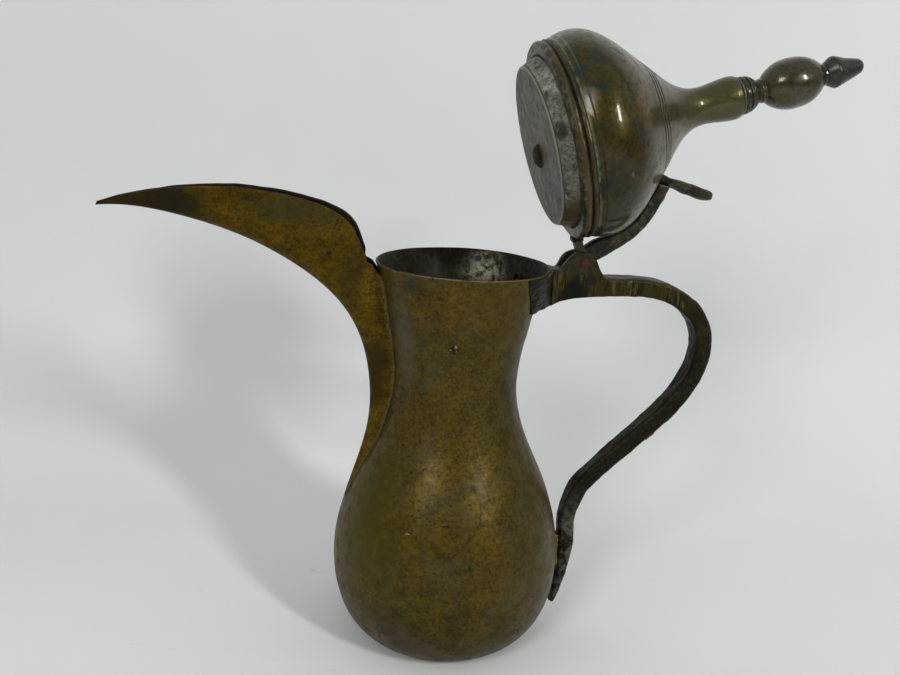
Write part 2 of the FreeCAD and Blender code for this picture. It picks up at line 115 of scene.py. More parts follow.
class Shade(Nodes):
    """The nodes of one material. A lid material's places are in the lid's own space."""

    def __init__(self, name, lid=False):
        self.material = bpy.data.materials.new(name)
        self.material.use_nodes = True
        super().__init__(self.material.node_tree)
        self.tree.nodes.clear()
        self.out = self.tree.nodes.new("ShaderNodeOutputMaterial")
        self.place = self.node("ShaderNodeTexCoord").outputs["Object"]
        self.colour, self.rough, self.metal = None, 0.85, 0.0
        if lid:
            back = LID_PLACE.inverted()
            self.place = self.node("ShaderNodeMapping", {"Vector": self.place, "Location": back.to_translation(),
                                                         "Rotation": back.to_euler("XYZ")}).outputs["Vector"]

    def mark(self, name):
        return self.node("ShaderNodeAttribute", attribute_name=name).outputs["Fac"]

    def moved(self, offset, stretch=(1, 1, 1)):
        return self.node("ShaderNodeMapping", {"Vector": self.place, "Location": offset,
                                               "Scale": stretch}).outputs["Vector"]

    def noise(self, size, detail=4.0, rough=0.55, warp=0.0, seed=0.0, stretch=(1, 1, 1)):
        """Noise whose features are about size metres across, 0 to 1."""
        where = self.moved((seed, seed * 0.7, -seed * 1.3), stretch)
        return self.node("ShaderNodeTexNoise", {"Vector": where, "Scale": 1.0 / size, "Detail": detail,
                                                "Roughness": rough, "Distortion": warp}).outputs["Fac"]

    def facets(self, size, seed):
        """Distance to the middle of the nearest soft cell, for the marks of the hammer."""
        return self.node("ShaderNodeTexVoronoi", {"Vector": self.moved((seed, seed, seed)), "Scale": 1.0 / size,
                                                  "Smoothness": 1.0}, feature="SMOOTH_F1").outputs["Distance"]

    def mix(self, share, first, second, how="MIX"):
        made = self.node("ShaderNodeMix", data_type="RGBA", blend_type=how, clamp_factor=True)
        for key, value in (("Factor", share), ("A", first), ("B", second)):
            self.feed(made.inputs[key], value)
        return made.outputs["Result"]

    def product(self, shares):
        total = shares[0]
        for share in shares[1:]:
            total = self.both(total, share)
        return total

    def lay(self, tone, *shares):
        """Puts a tone over the colour as far as the shares, multiplied, say."""
        self.colour = self.mix(self.product(shares), self.colour, tone)

    def dye(self, tone, *shares):
        """Multiplies the colour by a tone as far as the shares, multiplied, say."""
        self.lay(self.mix(1.0, self.colour, tone, "MULTIPLY"), *shares)

    def blots(self, table):
        """Tones over the colour, from rows of (tone, share, centre, radius, softness, stretch, wobble)."""
        for tone, share, *where in table:
            self.lay(tone, self.near(*where), share)

    def spots(self, table, soft=0.6, wobble=1.2, rougher=0.1):
        """The same from rows of (centre, radius, stretch, tone, share), and rougher there."""
        for centre, radius, stretch, tone, share in table:
            spot = self.both(self.near(centre, radius, soft, stretch, radius * wobble), share)
            self.lay(tone, spot)
            if rougher:
                self.rough = self.plus(self.rough, self.both(spot, rougher))

    def axis(self, letter):
        return self.node("ShaderNodeSeparateXYZ", {"Vector": self.place}).outputs[letter]

    def vector(self, operation, first, second=(0, 0, 0)):
        return self.node("ShaderNodeVectorMath", {0: first, 1: second}, operation=operation).outputs

    def near(self, centre, radius, soft=0.5, stretch=(1, 1, 1), wobble=0.0):
        """1 inside a blob round a point in the piece's own space, 0 outside."""
        shift = self.vector("SUBTRACT", self.place, centre)["Vector"]
        distance = self.vector("LENGTH", self.vector("MULTIPLY", shift, stretch)["Vector"])["Value"]
        if wobble:
            noise = self.noise(radius * 0.7, 3.0, 0.6, seed=centre[0] * 37)
            distance = self.plus(distance, self.both(self.plus(noise, -0.5), wobble))
        return self.ramp(distance, radius * (1 - soft), radius, 1.0, 0.0)

    def bump(self, height, distance, strength, under=None):
        inputs = {"Height": height, "Distance": distance, "Strength": strength}
        if under is not None:
            inputs["Normal"] = under
        return self.node("ShaderNodeBump", inputs).outputs["Normal"]

    def finish(self, normal, coat=0.0, coat_rough=0.3, specular=0.5):
        inputs = {"Base Color": self.colour, "Roughness": self.rough, "Metallic": self.metal,
                  "Specular IOR Level": specular, "Coat Weight": coat, "Coat Roughness": coat_rough}
        if normal is not None:
            inputs["Normal"] = normal
        self.feed(self.out.inputs["Surface"], self.node("ShaderNodeBsdfPrincipled", inputs).outputs["BSDF"])
        return self.material


DARK = (0.014, 0.013, 0.008)


def patina(name, brown, gold, green=(0.018, 0.034, 0.02), haze=(0.075, 0.072, 0.048),
           gold_share=0.5, spots=0.5, verdigris=0.3, hazed=0.3, rough=0.46, metallic=0.45, seed=0.0, scale=1.0,
           facets=0.4, coat=0.1, coat_rough=0.25, specular=0.22, edges=None, extra=None, lid=False, shaded=0.45):
    """Old brass: two tones in clouds, mottling, grey film, dark pits, a little green, and worn edges."""
    s = Shade(name, lid)
    clouds = s.noise(0.04 * scale, 4.0, 0.6, 0.5, seed)
    mottle = s.noise(0.0065 * scale, 6.0, 0.66, 0.3, seed + 3)
    grain = s.noise(0.0016, 5.0, 0.7, 0.0, seed + 5)
    film = s.noise(0.022 * scale, 6.0, 0.62, 0.8, seed + 7)
    s.colour = s.mix(s.ramp(clouds, 0.6 - 0.3 * gold_share, 0.8 - 0.3 * gold_share), brown, gold)
    s.dye((0.56, 0.6, 0.7), s.ramp(mottle, 0.36, 0.66, 0.0, 0.74))
    s.dye((0.42, 0.5, 0.62), s.ramp(s.noise(0.03 * scale, 5.0, 0.62, 1.2, seed + 27), 0.46, 0.7, 0.0, shaded))
    s.dye((1.6, 1.54, 1.4), s.ramp(grain, 0.42, 0.68, 0.0, 0.9))
    s.dye((0.42, 0.44, 0.52), s.ramp(grain, 0.5, 0.32, 0.0, 0.75))
    s.lay(haze, s.ramp(film, 0.5, 0.68, 0.0, hazed))
    pits = s.ramp(s.plus(s.noise(0.0034, 4.0, 0.72, 0.2, seed + 9), s.both(clouds, 0.15)),
                  0.735 - 0.05 * spots, 0.775 - 0.05 * spots)
    s.lay(DARK, pits, 0.8)
    greening = s.ramp(s.noise(0.012, 6.0, 0.75, 0.5, seed + 13), 0.62 - 0.08 * verdigris, 0.72 - 0.08 * verdigris,
                      0.0, 0.8 * min(1.0, verdigris * 2))
    s.lay(green, greening)
    s.rough = s.plus(s.ramp(mottle, 0.3, 0.7, rough - 0.07, rough + 0.1), s.both(greening, 0.2))
    s.rough = s.plus(s.rough, s.both(pits, 0.2))
    s.metal = s.plus(metallic, s.both(s.math("MAXIMUM", greening, pits), -metallic * 0.8))
    if edges:
        tone, start, full = edges
        wear = s.ramp(s.plus(s.mark("edge"), s.both(s.plus(s.noise(0.002, 5.0, 0.7, 0.0, seed + 21), -0.5), 0.5)),
                      start, full, 0.0, 0.85)
        s.lay(tone, wear)
        s.lay(DARK, s.ramp(s.mark("edge"), -start, -full, 0.0, 0.7))
        s.metal = s.plus(s.metal, s.both(wear, 0.3))
    if extra:
        extra(s)
    normal = s.bump(s.facets(0.011 * scale, seed), 0.0006, facets)
    normal = s.bump(s.plus(mottle, s.both(pits, -0.6)), 0.0002, 0.6, normal)
    return s.finish(s.bump(grain, 0.0001, 0.7, normal), coat, coat_rough, specular)


def assign(node, material):
    slots = NODES[node].material_slots
    if slots:
        for slot in slots:
            slot.material = material
    else:
        NODES[node].data.materials.append(material)


# ---- mesh building ----
def end_slope(places, points):
    """Slope at the first place of the cubic through four points."""
    slope = np.zeros(points.shape[1])
    for i in range(4):
        others = [j for j in range(4) if j != i]
        below = np.prod([places[i] - places[j] for j in others])
        above = sum(np.prod([places[0] - places[j] for j in others if j != k]) for k in others)
        slope += points[i] * above / below
    return slope


def through(points, places=None):
    """A smooth curve through points, as a function of a share from 0 to 1 of its length."""
    points = np.array(points, float)
    if places is None:
        steps = np.linalg.norm(np.diff(points, axis=0), axis=1)
        places = np.concatenate([[0], np.cumsum(steps)]) / steps.sum()
    places = np.array(places, float)
    count = len(points)
    system, known = np.eye(count), np.zeros_like(points)
    known[0] = end_slope(places[:4], points[:4])
    known[-1] = end_slope(places[:-5:-1], points[:-5:-1])
    for i in range(1, count - 1):
        before, after = places[i] - places[i - 1], places[i + 1] - places[i]
        system[i, i - 1], system[i, i], system[i, i + 1] = after, 2 * (before + after), before
        known[i] = 3 * (after * (points[i] - points[i - 1]) / before + before * (points[i + 1] - points[i]) / after)
    slopes = np.linalg.solve(system, known)

    def at(shares):
        shares = np.atleast_1d(np.asarray(shares, float))
        i = np.clip(np.searchsorted(places, shares, side="right") - 1, 0, count - 2)
        width = places[i + 1] - places[i]
        t = ((shares - places[i]) / width)[:, None]
        width = width[:, None]
        return ((2 * t**3 - 3 * t**2 + 1) * points[i] + (t**3 - 2 * t**2 + t) * width * slopes[i]
                + (3 * t**2 - 2 * t**3) * points[i + 1] + (t**3 - t**2) * width * slopes[i + 1])
    return at


WAVES = 26


def field(points, size, seed):
    """Smooth random unevenness about size across, roughly -1 to 1."""
    rng = np.random.default_rng(seed)
    ways = rng.normal(size=(WAVES, 3))
    ways *= (2 * math.pi / size * rng.uniform(0.5, 1.3, WAVES) / np.linalg.norm(ways, axis=1))[:, None]
    phases = rng.uniform(0, 2 * math.pi, WAVES)
    total = np.zeros(points.shape[:-1])
    for way, phase in zip(ways, phases):
        total += np.cos(points @ way + phase)
    return total / math.sqrt(WAVES / 2)


def lumps(points, centres, radius):
    """Bell-shaped marks round each centre, 1 at the middle."""
    total = np.zeros(points.shape[:-1])
    for centre in centres:
        total += np.exp(-((np.linalg.norm(points - np.array(centre[:3]), axis=-1) / (radius * centre[3]))**2))
    return total


def add_object(name, mesh, body, materials, node_names, place=None):
    made = linked(name, mesh)
    for material in materials:
        mesh.materials.append(material)
    if place is not None:
        mesh.transform(place)
    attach(made, body)
    if node_names:
        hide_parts(*node_names)
    return made


def mark(mesh, key, values):
    mesh.attributes.new(key, "FLOAT", "POINT").data.foreach_set("value", values.reshape(-1).astype(np.float32))


def smooth(mesh):
    mesh.polygons.foreach_set("use_smooth", np.ones(len(mesh.polygons), bool))


def tidy_mesh(mesh):
    """Removes loose points and turns the faces outwards."""
    form = bmesh.new()
    form.from_mesh(mesh)
    bmesh.ops.delete(form, geom=[vert for vert in form.verts if not vert.link_faces], context="VERTS")
    bmesh.ops.recalc_face_normals(form, faces=form.faces)
    form.to_mesh(mesh)
    form.free()


def eased(share):
    """0 to 1 with a soft start and a soft end."""
    return share * share * (3 - 2 * share)


def grid(name, points, around=True, skip=None, marks=None, loop=False, cap_first=False, cap_last=False, more=()):
    """A mesh from rows of points (rows, columns, 3), closed round the columns or not, its ends joined or capped."""
    rows, columns = points.shape[:2]
    number = np.arange(rows * columns).reshape(rows, columns)
    right = np.roll(number, -1, axis=1) if around else number[:, 1:]
    left = number if around else number[:, :-1]
    faces = np.stack([left[:-1], right[:-1], right[1:], left[1:]], axis=-1).reshape(-1, 4)
    if skip is not None:
        faces = faces[~skip.reshape(-1)]
    faces = faces.tolist()
    if loop:
        faces += np.stack([number[-1], right[-1], right[0], number[0]], axis=-1).tolist()
    if cap_first:
        faces.append(number[0][::-1].tolist())
    if cap_last:
        faces.append(number[-1].tolist())
    faces += more
    mesh = bpy.data.meshes.new(name)
    mesh.from_pydata(points.reshape(-1, 3).tolist(), [], faces)
    smooth(mesh)
    for key, values in (marks or {}).items():
        mark(mesh, key, values)
    return mesh


def spun(profile, columns):
    """Rows of points from a profile of (radius, height) turned round Z."""
    profile = np.array(profile, float)
    angles = np.linspace(0, 2 * math.pi, columns, endpoint=False)
    ring = np.stack([np.cos(angles), np.sin(angles), np.zeros(columns)], axis=-1)
    return profile[:, 0][:, None, None] * ring + profile[:, 1][:, None, None] * np.array([0, 0, 1.0])


def refined(profile, step):
    """A profile with more points along its straight runs."""
    profile = np.array(profile, float)
    made = [profile[:1]]
    for start, end in zip(profile[:-1], profile[1:]):
        count = max(1, int(np.linalg.norm(end - start) / step))
        made.append(start + (end - start) * (np.arange(1, count + 1) / count)[:, None])
    return np.concatenate(made)


def rounded(profile, radius, step):
    """A profile whose corners are worn round by about a radius."""
    line = refined(profile, step)
    keep = line.copy()
    for _ in range(max(1, int((radius / step)**2))):
        line[1:-1] = 0.5 * line[1:-1] + 0.25 * (line[:-2] + line[2:])
    line[0], line[-1] = keep[0], keep[-1]
    return line


def remade(node, name, voxel, body, slot, material, shape, relax, marks=None, form=None):
    """A CAD node remeshed finely, with its edges worn and an attribute that says where they are."""
    mesh = NODES[node].data.copy()
    made = linked(name, mesh)
    mesh.materials.clear()
    weld = made.modifiers.new("weld", "WELD")
    weld.merge_threshold = 1e-6
    voxels = made.modifiers.new("remesh", "REMESH")
    voxels.mode, voxels.voxel_size = "VOXEL", voxel
    graph = bpy.context.evaluated_depsgraph_get()
    mesh = bpy.data.meshes.new_from_object(made.evaluated_get(graph))
    bpy.data.objects.remove(made)
    mesh.name = name
    count = len(mesh.vertices)
    place = np.zeros(count * 3)
    mesh.vertices.foreach_get("co", place)
    place = place.reshape(-1, 3)
    edges = np.zeros(len(mesh.edges) * 2, int)
    mesh.edges.foreach_get("vertices", edges)
    edges = edges.reshape(-1, 2)
    share = np.zeros(count)
    np.add.at(share, edges.ravel(), 1.0)

    def spread(values):
        total = np.zeros_like(values)
        np.add.at(total, edges[:, 0], values[edges[:, 1]])
        np.add.at(total, edges[:, 1], values[edges[:, 0]])
        return total / (share[:, None] if values.ndim > 1 else share)
    for _ in range(relax):
        place = 0.4 * place + 0.6 * spread(place)
    if form is not None:
        place = form(place)
    mesh.vertices.foreach_set("co", place.ravel())
    mesh.update()
    normal = np.zeros(count * 3, np.float32)
    mesh.vertices.foreach_get("normal", normal)
    normal = normal.reshape(-1, 3).astype(float)
    average = place.copy()
    for _ in range(4):
        average = spread(average)
    edge = ((place - average) * normal).sum(axis=1) / voxel
    for _ in range(2):
        edge = 0.5 * edge + 0.5 * spread(edge)
    if shape is not None:
        place = place + normal * shape(place)[:, None]
        mesh.vertices.foreach_set("co", place.ravel())
    mark(mesh, "edge", edge)
    for key, make in (marks or {}).items():
        mark(mesh, key, make(place, normal))
    smooth(mesh)
    return add_object(name, mesh, body, [material], [node])


# ---- marks at their own places, in metres ----
def body_features(s):
    """Stains, streaks and spots of the pot, painted sheen down the sides of the neck, painted glints in a punched
    mark, and its bare rim.
    """
    height = s.axis("Z")
    s.dye((0.85, 0.88, 1.3), s.ramp(height, 0.055, 0.0, 0.0, 0.55))
    s.dye((0.6, 0.62, 0.7), s.ramp(s.noise(0.004, 4.0, 0.6, 0.2, 31.0, (1, 1, 0.12)), 0.5, 0.75, 0.0, 0.4))
    s.blots(BODY_STAINS_AND_SHEENS)
    s.spots(BODY_SPOTS_AND_GLINTS)
    s.lay((0.15, 0.135, 0.07), s.ramp(s.mark("rim"), 0.2, 0.9),
          s.ramp(s.noise(0.006, 4.0, 0.7, 0.0, 51.0), 0.38, 0.55, 0.1, 0.9))
    s.lay((0.05, 0.045, 0.03), s.ramp(height, 0.0006, 0.0002, 0.0, 0.8))


BODY_STAINS_AND_SHEENS = [
    ((0.066, 0.052, 0.0015), 0.8, (-0.05, -0.03, 0.075), 0.038, 0.9, (1, 1, 0.7), 0.02),
    ((0.062, 0.052, 0.02), 0.5, (0.045, -0.04, 0.05), 0.035, 0.9, (1, 1, 0.8), 0.02),
    ((0.022, 0.025, 0.016), 0.7, (-0.0285, -0.0275, 0.1945), 0.0075, 0.8, (1, 1, 0.9), 0.008),
    # painted sheen: a grey-green band down the left side of the neck by the seam, and a fainter one down its right
    # side
    ((0.082, 0.078, 0.048), 0.65, (-0.029, -0.019, 0.165), 0.0105, 0.9, (1, 1, 0.28), 0.008),
    ((0.062, 0.056, 0.034), 0.12, (0.027, -0.023, 0.15), 0.013, 0.9, (1, 1, 0.32), 0.008),
    ((0.034, 0.028, 0.01), 0.5, (0.029, -0.018, 0.15), 0.022, 0.9, (1, 1, 0.5), 0.01),
    ((0.074, 0.042, 0.005), 0.35, (0.015, -0.037, 0.178), 0.022, 0.9, (1, 1, 0.6), 0.012)]
# the bright colour serves for a pale mark on the belly and for painted glints in the punched mark
BLACK, GREEN, BRIGHT_AND_GLINT = (0.008, 0.009, 0.007), (0.01, 0.026, 0.016), (0.3, 0.26, 0.14)
BODY_SPOTS_AND_GLINTS = [
    ((-0.0078, -0.0513, 0.082), 0.0016, (0.5, 1, 2), BLACK, 0.8),
    ((-0.0255, -0.0477, 0.0765), 0.0012, (0.5, 1, 3), BRIGHT_AND_GLINT, 0.8),
    ((0.0041, -0.0579, 0.0628), 0.002, (1, 1, 0.8), GREEN, 0.9),
    ((-0.03, -0.05, 0.09), 0.0022, (1, 1, 0.7), BLACK, 0.55),
    ((-0.012, -0.056, 0.045), 0.0012, (1, 1, 1), BLACK, 0.7),
    ((0.01, -0.034, 0.156), 0.0011, (1, 1, 1), BLACK, 0.7),
    ((0.019, -0.03, 0.185), 0.0014, (1, 1, 1), BLACK, 0.6),
    ((-0.0038, -0.0586, 0.0313), 0.0014, (0.5, 1, 2), BLACK, 0.7),
    # a punched mark: a dark spot with three painted glints on it
    ((-0.0068, -0.0336, 0.1648), 0.003, (1, 1, 1), BLACK, 0.8),
    ((-0.006, -0.034, 0.1662), 0.0011, (1, 1, 1), BRIGHT_AND_GLINT, 0.9),
    ((-0.0084, -0.0336, 0.1645), 0.0007, (1, 1, 1), BRIGHT_AND_GLINT, 0.8),
    ((-0.0058, -0.0342, 0.164), 0.0006, (1, 1, 1), BRIGHT_AND_GLINT, 0.8),
    ((-0.015, -0.037, 0.19), 0.002, (0.6, 1, 1.4), BLACK, 0.55),
    ((0.018, -0.048, 0.1), 0.0014, (1, 1, 1), BLACK, 0.5),
    ((0.03, -0.05, 0.056), 0.0018, (1, 1, 1), GREEN, 0.6),
    ((-0.022, -0.03, 0.15), 0.0012, (1, 1, 1), BLACK, 0.5)]


def inside_features(s):
    """Tinning worn to dark grey, with a pale patch left near the rim on the far side, and painted shade that deepens
    down into the pot.
    """
    s.lay((0.3, 0.3, 0.2), s.near((0.02, 0.038, 0.19), 0.016, 0.8, (0.8, 1, 1.3), 0.012), 0.9,
          s.ramp(s.noise(0.004, 5.0, 0.7), 0.38, 0.58))
    s.blots([((0.055, 0.022, 0.012), 0.8, (0.026, 0.037, 0.187), 0.0035, 0.6, (1, 1, 1), 0.004),
             ((0.018, 0.02, 0.014), 0.7, (-0.012, 0.04, 0.186), 0.016, 0.8, (0.7, 1, 1.2), 0.012)])
    s.lay((0.048, 0.049, 0.036), s.ramp(s.noise(0.0022, 4.0, 0.6, 0.2, 33.0, (1, 1, 0.08)), 0.5, 0.72, 0.0, 0.5))
    # painted shade: darker further down inside the pot
    s.lay((0.016, 0.017, 0.013), s.ramp(s.axis("Z"), 0.19, 0.11, 0.0, 0.6))


SPOUT_SPOTS = [
    ((-0.136, -0.006, 0.224), 0.011, (0.8, 1, 1.3), (0.012, 0.014, 0.004), 0.7),
    ((-0.158, -0.003, 0.225), 0.007, (0.8, 1, 1), (0.03, 0.018, 0.004), 0.6),
    ((-0.085, -0.009, 0.224), 0.016, (0.5, 1, 1.6), (0.034, 0.036, 0.012), 0.6),
    ((-0.0665, -0.0093, 0.204), 0.0022, (1, 1, 1), (0.006, 0.008, 0.004), 0.9),
    ((-0.056, -0.009, 0.19), 0.014, (1.2, 1, 0.8), (0.03, 0.022, 0.006), 0.5),
    ((-0.042, -0.007, 0.143), 0.016, (1.6, 1, 0.6), (0.03, 0.018, 0.003), 0.9)]


def spout_features(s):
    """A rubbed place at the neck, solder along the seam, painted shade along the lips, and a dark tip."""
    s.lay((0.2, 0.125, 0.01), s.near((-0.047, -0.012, 0.186), 0.011, 0.8, (1.6, 1, 0.6), 0.01),
          s.ramp(s.noise(0.0016, 5.0, 0.7), 0.42, 0.6), 0.9)
    seam = s.ramp(s.mark("seam"), 0.15, 0.8)
    s.lay((0.03, 0.026, 0.01), seam, 0.5)
    s.lay((0.17, 0.125, 0.022), seam, s.ramp(s.noise(0.0014, 4.0, 0.7, 0.0, 3.0), 0.4, 0.62), 0.8)
    # painted shade: dark along the lips, where the channel's far edge lies in shadow
    s.lay((0.02, 0.02, 0.012), s.ramp(s.mark("lip"), 0.3, 0.9),
          s.ramp(s.noise(0.003, 4.0, 0.65, 0.0, 8.0), 0.35, 0.6, 0.4, 1.0), 0.8)
    s.lay((0.016, 0.013, 0.004), s.ramp(s.axis("X"), -0.115, -0.142, 0.0, 0.88))
    s.spots(SPOUT_SPOTS, 0.7, rougher=0.0)


def dome_features(s):
    """Bands by height above the plug's underside, painted shade on the side that faces down in the open lid, a
    painted reflection that pales the upper dome and the spire, and marks round the lid at their own angles.
    """
    height = s.axis("Z")
    s.dye((0.9, 0.95, 1.3), s.ramp(height, 0.034, 0.02), 0.5)
    # painted shade: darker on the side of the dome that faces down in the open lid
    s.dye((0.5, 0.47, 0.28), s.ramp(s.axis("X"), -0.014, 0.01, 0.0, 0.7), s.ramp(height, 0.054, 0.042))
    # painted reflection: a paler, greyer upper dome
    s.lay((0.08, 0.07, 0.03), s.ramp(height, 0.04, 0.056),
          s.ramp(s.noise(0.012, 5.0, 0.65, 0.4, 81.0), 0.35, 0.62, 0.25, 0.85))
    # painted reflection: paler still up the spire
    s.lay((0.064, 0.064, 0.024), s.ramp(height, 0.062, 0.08, 0.0, 0.6))
    s.lay((0.006, 0.006, 0.004), s.ramp(s.mark("cut"), 0.3, 0.9, 0.0, 0.85))
    s.lay((0.14, 0.16, 0.08), s.ramp(height, 0.0164, 0.0148, 0.0, 0.9),
          s.ramp(s.noise(0.003, 4.0, 0.7, 0, 2.0), 0.36, 0.58, 0.2, 1.0))
    s.spots(DOME_SPOTS, wobble=1.3)


DOME_SPOTS = [
    ((-0.0325, -0.036, 0.0169), 0.005, (1, 1, 0.9), (0.01, 0.026, 0.02), 0.85),
    ((-0.0231, -0.0441, 0.0255), 0.0026, (1, 1, 1), (0.01, 0.026, 0.018), 0.9),
    ((-0.0356, -0.0345, 0.0275), 0.005, (1, 1, 0.8), (0.016, 0.03, 0.018), 0.7),
    ((0.0212, -0.045, 0.019), 0.003, (1, 1, 0.7), (0.01, 0.026, 0.016), 0.85),
    ((0.016, -0.047, 0.0215), 0.0024, (1, 1, 1), (0.01, 0.024, 0.014), 0.7),
    ((0.019, -0.0437, 0.0156), 0.0058, (0.8, 0.8, 4.5), (0.004, 0.004, 0.003), 0.97),
    ((0.0162, -0.0464, 0.03), 0.0014, (0.7, 1, 2.0), (0.16, 0.14, 0.07), 0.7),
    ((-0.0438, -0.0207, 0.0167), 0.0026, (1, 1, 1), (0.14, 0.13, 0.08), 0.6),
    ((-0.0207, -0.044, 0.0174), 0.007, (1, 1, 1.2), (0.105, 0.1, 0.075), 0.55),
    ((0.03, -0.038, 0.02), 0.005, (1, 1, 1), (0.02, 0.034, 0.018), 0.6),
    ((-0.006, -0.049, 0.023), 0.006, (1, 1, 0.6), (0.03, 0.034, 0.02), 0.5)]


def ring_features(s):
    """A worn ridge, a black groove, and painted shade with crust over it on the face that meets the rim."""
    height = s.axis("Z")
    s.lay((0.068, 0.051, 0.021), s.ramp(height, 0.0088, 0.0098), s.ramp(height, 0.0112, 0.0104),
          s.ramp(s.noise(0.004, 4.0, 0.7, 0, 4.0), 0.35, 0.6, 0.2, 0.8))
    s.lay((0.008, 0.008, 0.005), s.ramp(height, 0.0108, 0.0116), s.ramp(height, 0.013, 0.0122), 0.75)
    # painted shade on the low face that meets the rim, in the corner by the plug wall
    s.lay((0.02, 0.019, 0.01), s.ramp(height, 0.0086, 0.0078), 0.75)
    s.lay((0.13, 0.135, 0.085), s.ramp(height, 0.0096, 0.008),
          s.ramp(s.noise(0.0036, 5.0, 0.7, 0.3, 85.0), 0.46, 0.62), 0.8)


def plug_features(s):
    """Crusty grey tin and solder, rubbed to brown in places, ochre on the side near the hinge."""
    s.blots([((0.024, 0.019, 0.011), 0.9, (-0.0092, -0.0385, 0.0035), 0.0052, 0.5, (1, 1, 1), 0.003)])
    s.lay((0.06, 0.042, 0.01), s.ramp(s.axis("X"), 0.018, 0.028),
          s.ramp(s.noise(0.006, 5.0, 0.65, 0.3, 5.0), 0.3, 0.5, 0.4, 0.95))
    s.blots([((0.035, 0.048, 0.026), 0.6, (-0.038, -0.017, 0.006), 0.008, 0.7, (1, 1, 1), 0.006)])
    s.lay((0.11, 0.11, 0.085), s.ramp(s.axis("Z"), 0.0016, 0.001), 0.6)


def saddle_features(s):
    """Dark where the saddle meets the wall of the pot and the block of the handle."""
    s.lay((0.008, 0.008, 0.005), s.ramp(s.axis("X"), 0.0385, 0.0355), 0.7)
    s.lay((0.01, 0.01, 0.006), s.ramp(s.axis("X"), 0.0425, 0.0448), 0.55)


def disc_features(s):
    """Streaks, a warm stain, a dark patch round the fin's root that is partly stain and partly the fin's painted
    shadow, and a pale edge.
    """
    s.lay((0.03, 0.034, 0.026), s.ramp(s.noise(0.0026, 4.0, 0.6, 0.2, 35.0, (0.1, 1, 1)), 0.42, 0.7, 0.0, 0.45))
    # the second blot, beside the fin's root, is partly stain and partly the fin's painted shadow
    s.blots([((0.06, 0.044, 0.016), 0.45, (-0.004, -0.014, 0.0), 0.014, 0.9, (0.6, 1, 1), 0.008),
             ((0.012, 0.011, 0.006), 0.85, (0.006, -0.003, 0.0), 0.0056, 0.6, (1, 1.8, 1), 0.002)])
    s.lay((0.04, 0.032, 0.016), s.ramp(s.noise(0.006, 5.0, 0.65, 0.4, 83.0, (0.35, 1, 1)), 0.52, 0.66, 0.0, 0.4))
    s.lay((0.22, 0.225, 0.17), s.ramp(s.mark("out"), 0.0372, 0.038), 0.8)


def handle_features(s):
    """Warm filed flanks on the level part, a crusted upper edge, blacker metal towards the tail, painted shade on
    the faces turned to the pot, and a painted sheen on the faces that look up.
    """
    height, along, stroke = s.axis("Z"), s.axis("X"), (1, 1, 0.1)
    level = s.both(s.ramp(height, 0.176, 0.184), s.ramp(along, 0.126, 0.112))
    s.lay((0.042, 0.033, 0.007), level, 0.6)
    s.lay((0.006, 0.006, 0.004), level, s.ramp(s.noise(0.0016, 3.0, 0.6, 0.1, 37.0, stroke), 0.5, 0.6), 0.85)
    s.lay((0.13, 0.105, 0.022), level, s.ramp(s.noise(0.002, 3.0, 0.6, 0.1, 39.0, (1, 1, 0.14)), 0.56, 0.68, 0.0,
                                               0.6))
    black = s.mix(s.ramp(s.noise(0.0022, 4.0, 0.7, 0.2, 45.0), 0.42, 0.62), (0.005, 0.005, 0.003), (0.02, 0.019,
                                                                                                    0.009))
    s.lay(black, s.ramp(height, 0.182, 0.15, 0.0, 0.75))
    grey = s.mix(s.ramp(s.noise(0.003, 5.0, 0.7, 0.2, 43.0), 0.4, 0.65), (0.018, 0.018, 0.01), (0.044, 0.042, 0.022))
    s.lay(grey, s.ramp(height, 0.1965, 0.1985), s.ramp(along, 0.073, 0.071), 0.8)
    s.blots([((0.006, 0.006, 0.004), 0.92, (0.056, -0.0072, 0.187), 0.0095, 0.6, (1, 1, 0.8), 0.006)])
    # painted shade: near black on the grip's faces that look towards the pot
    s.lay((0.005, 0.005, 0.003), s.ramp(s.mark("inner"), 0.4, 0.8), 0.85)
    # painted sheen: pale grey on the faces of the level part that look up
    s.lay((0.072, 0.071, 0.046), s.ramp(s.mark("upper"), 0.5, 0.85), 0.6)
    s.lay((0.105, 0.108, 0.08), s.ramp(height, 0.085, 0.05),
          s.ramp(s.noise(0.006, 5.0, 0.7, 0.3, 41.0), 0.4, 0.6, 0.0, 0.85))


# ---- materials ----
TIN, PALE_TIN = (0.017, 0.015, 0.007), (0.042, 0.038, 0.021)
WORN = (0.15, 0.125, 0.05)

body_brass = patina(
    "body_brass", (0.074, 0.051, 0.0062), (0.09, 0.057, 0.005), haze=(0.072, 0.065, 0.033), gold_share=0.45,
    verdigris=0.25, spots=1.0, hazed=0.45, metallic=0.55, seed=1.0, shaded=0.5, specular=0.14, coat=0.06,
    extra=body_features)
inside_tin = patina(
    "inside_tin", TIN, PALE_TIN, gold_share=0.2, spots=0.9, verdigris=0.2, hazed=0.1, rough=0.5, metallic=0.4,
    seed=11.0, scale=0.5, coat=0.03, specular=0.1, extra=inside_features)
spout_brass = patina(
    "spout_brass", (0.072, 0.044, 0.0016), (0.098, 0.06, 0.0018), haze=(0.056, 0.044, 0.008), gold_share=0.65,
    spots=0.8, verdigris=0.25, hazed=0.2, metallic=0.62, seed=2.0, scale=0.8, shaded=0.75, specular=0.1, coat=0.03,
    extra=spout_features)
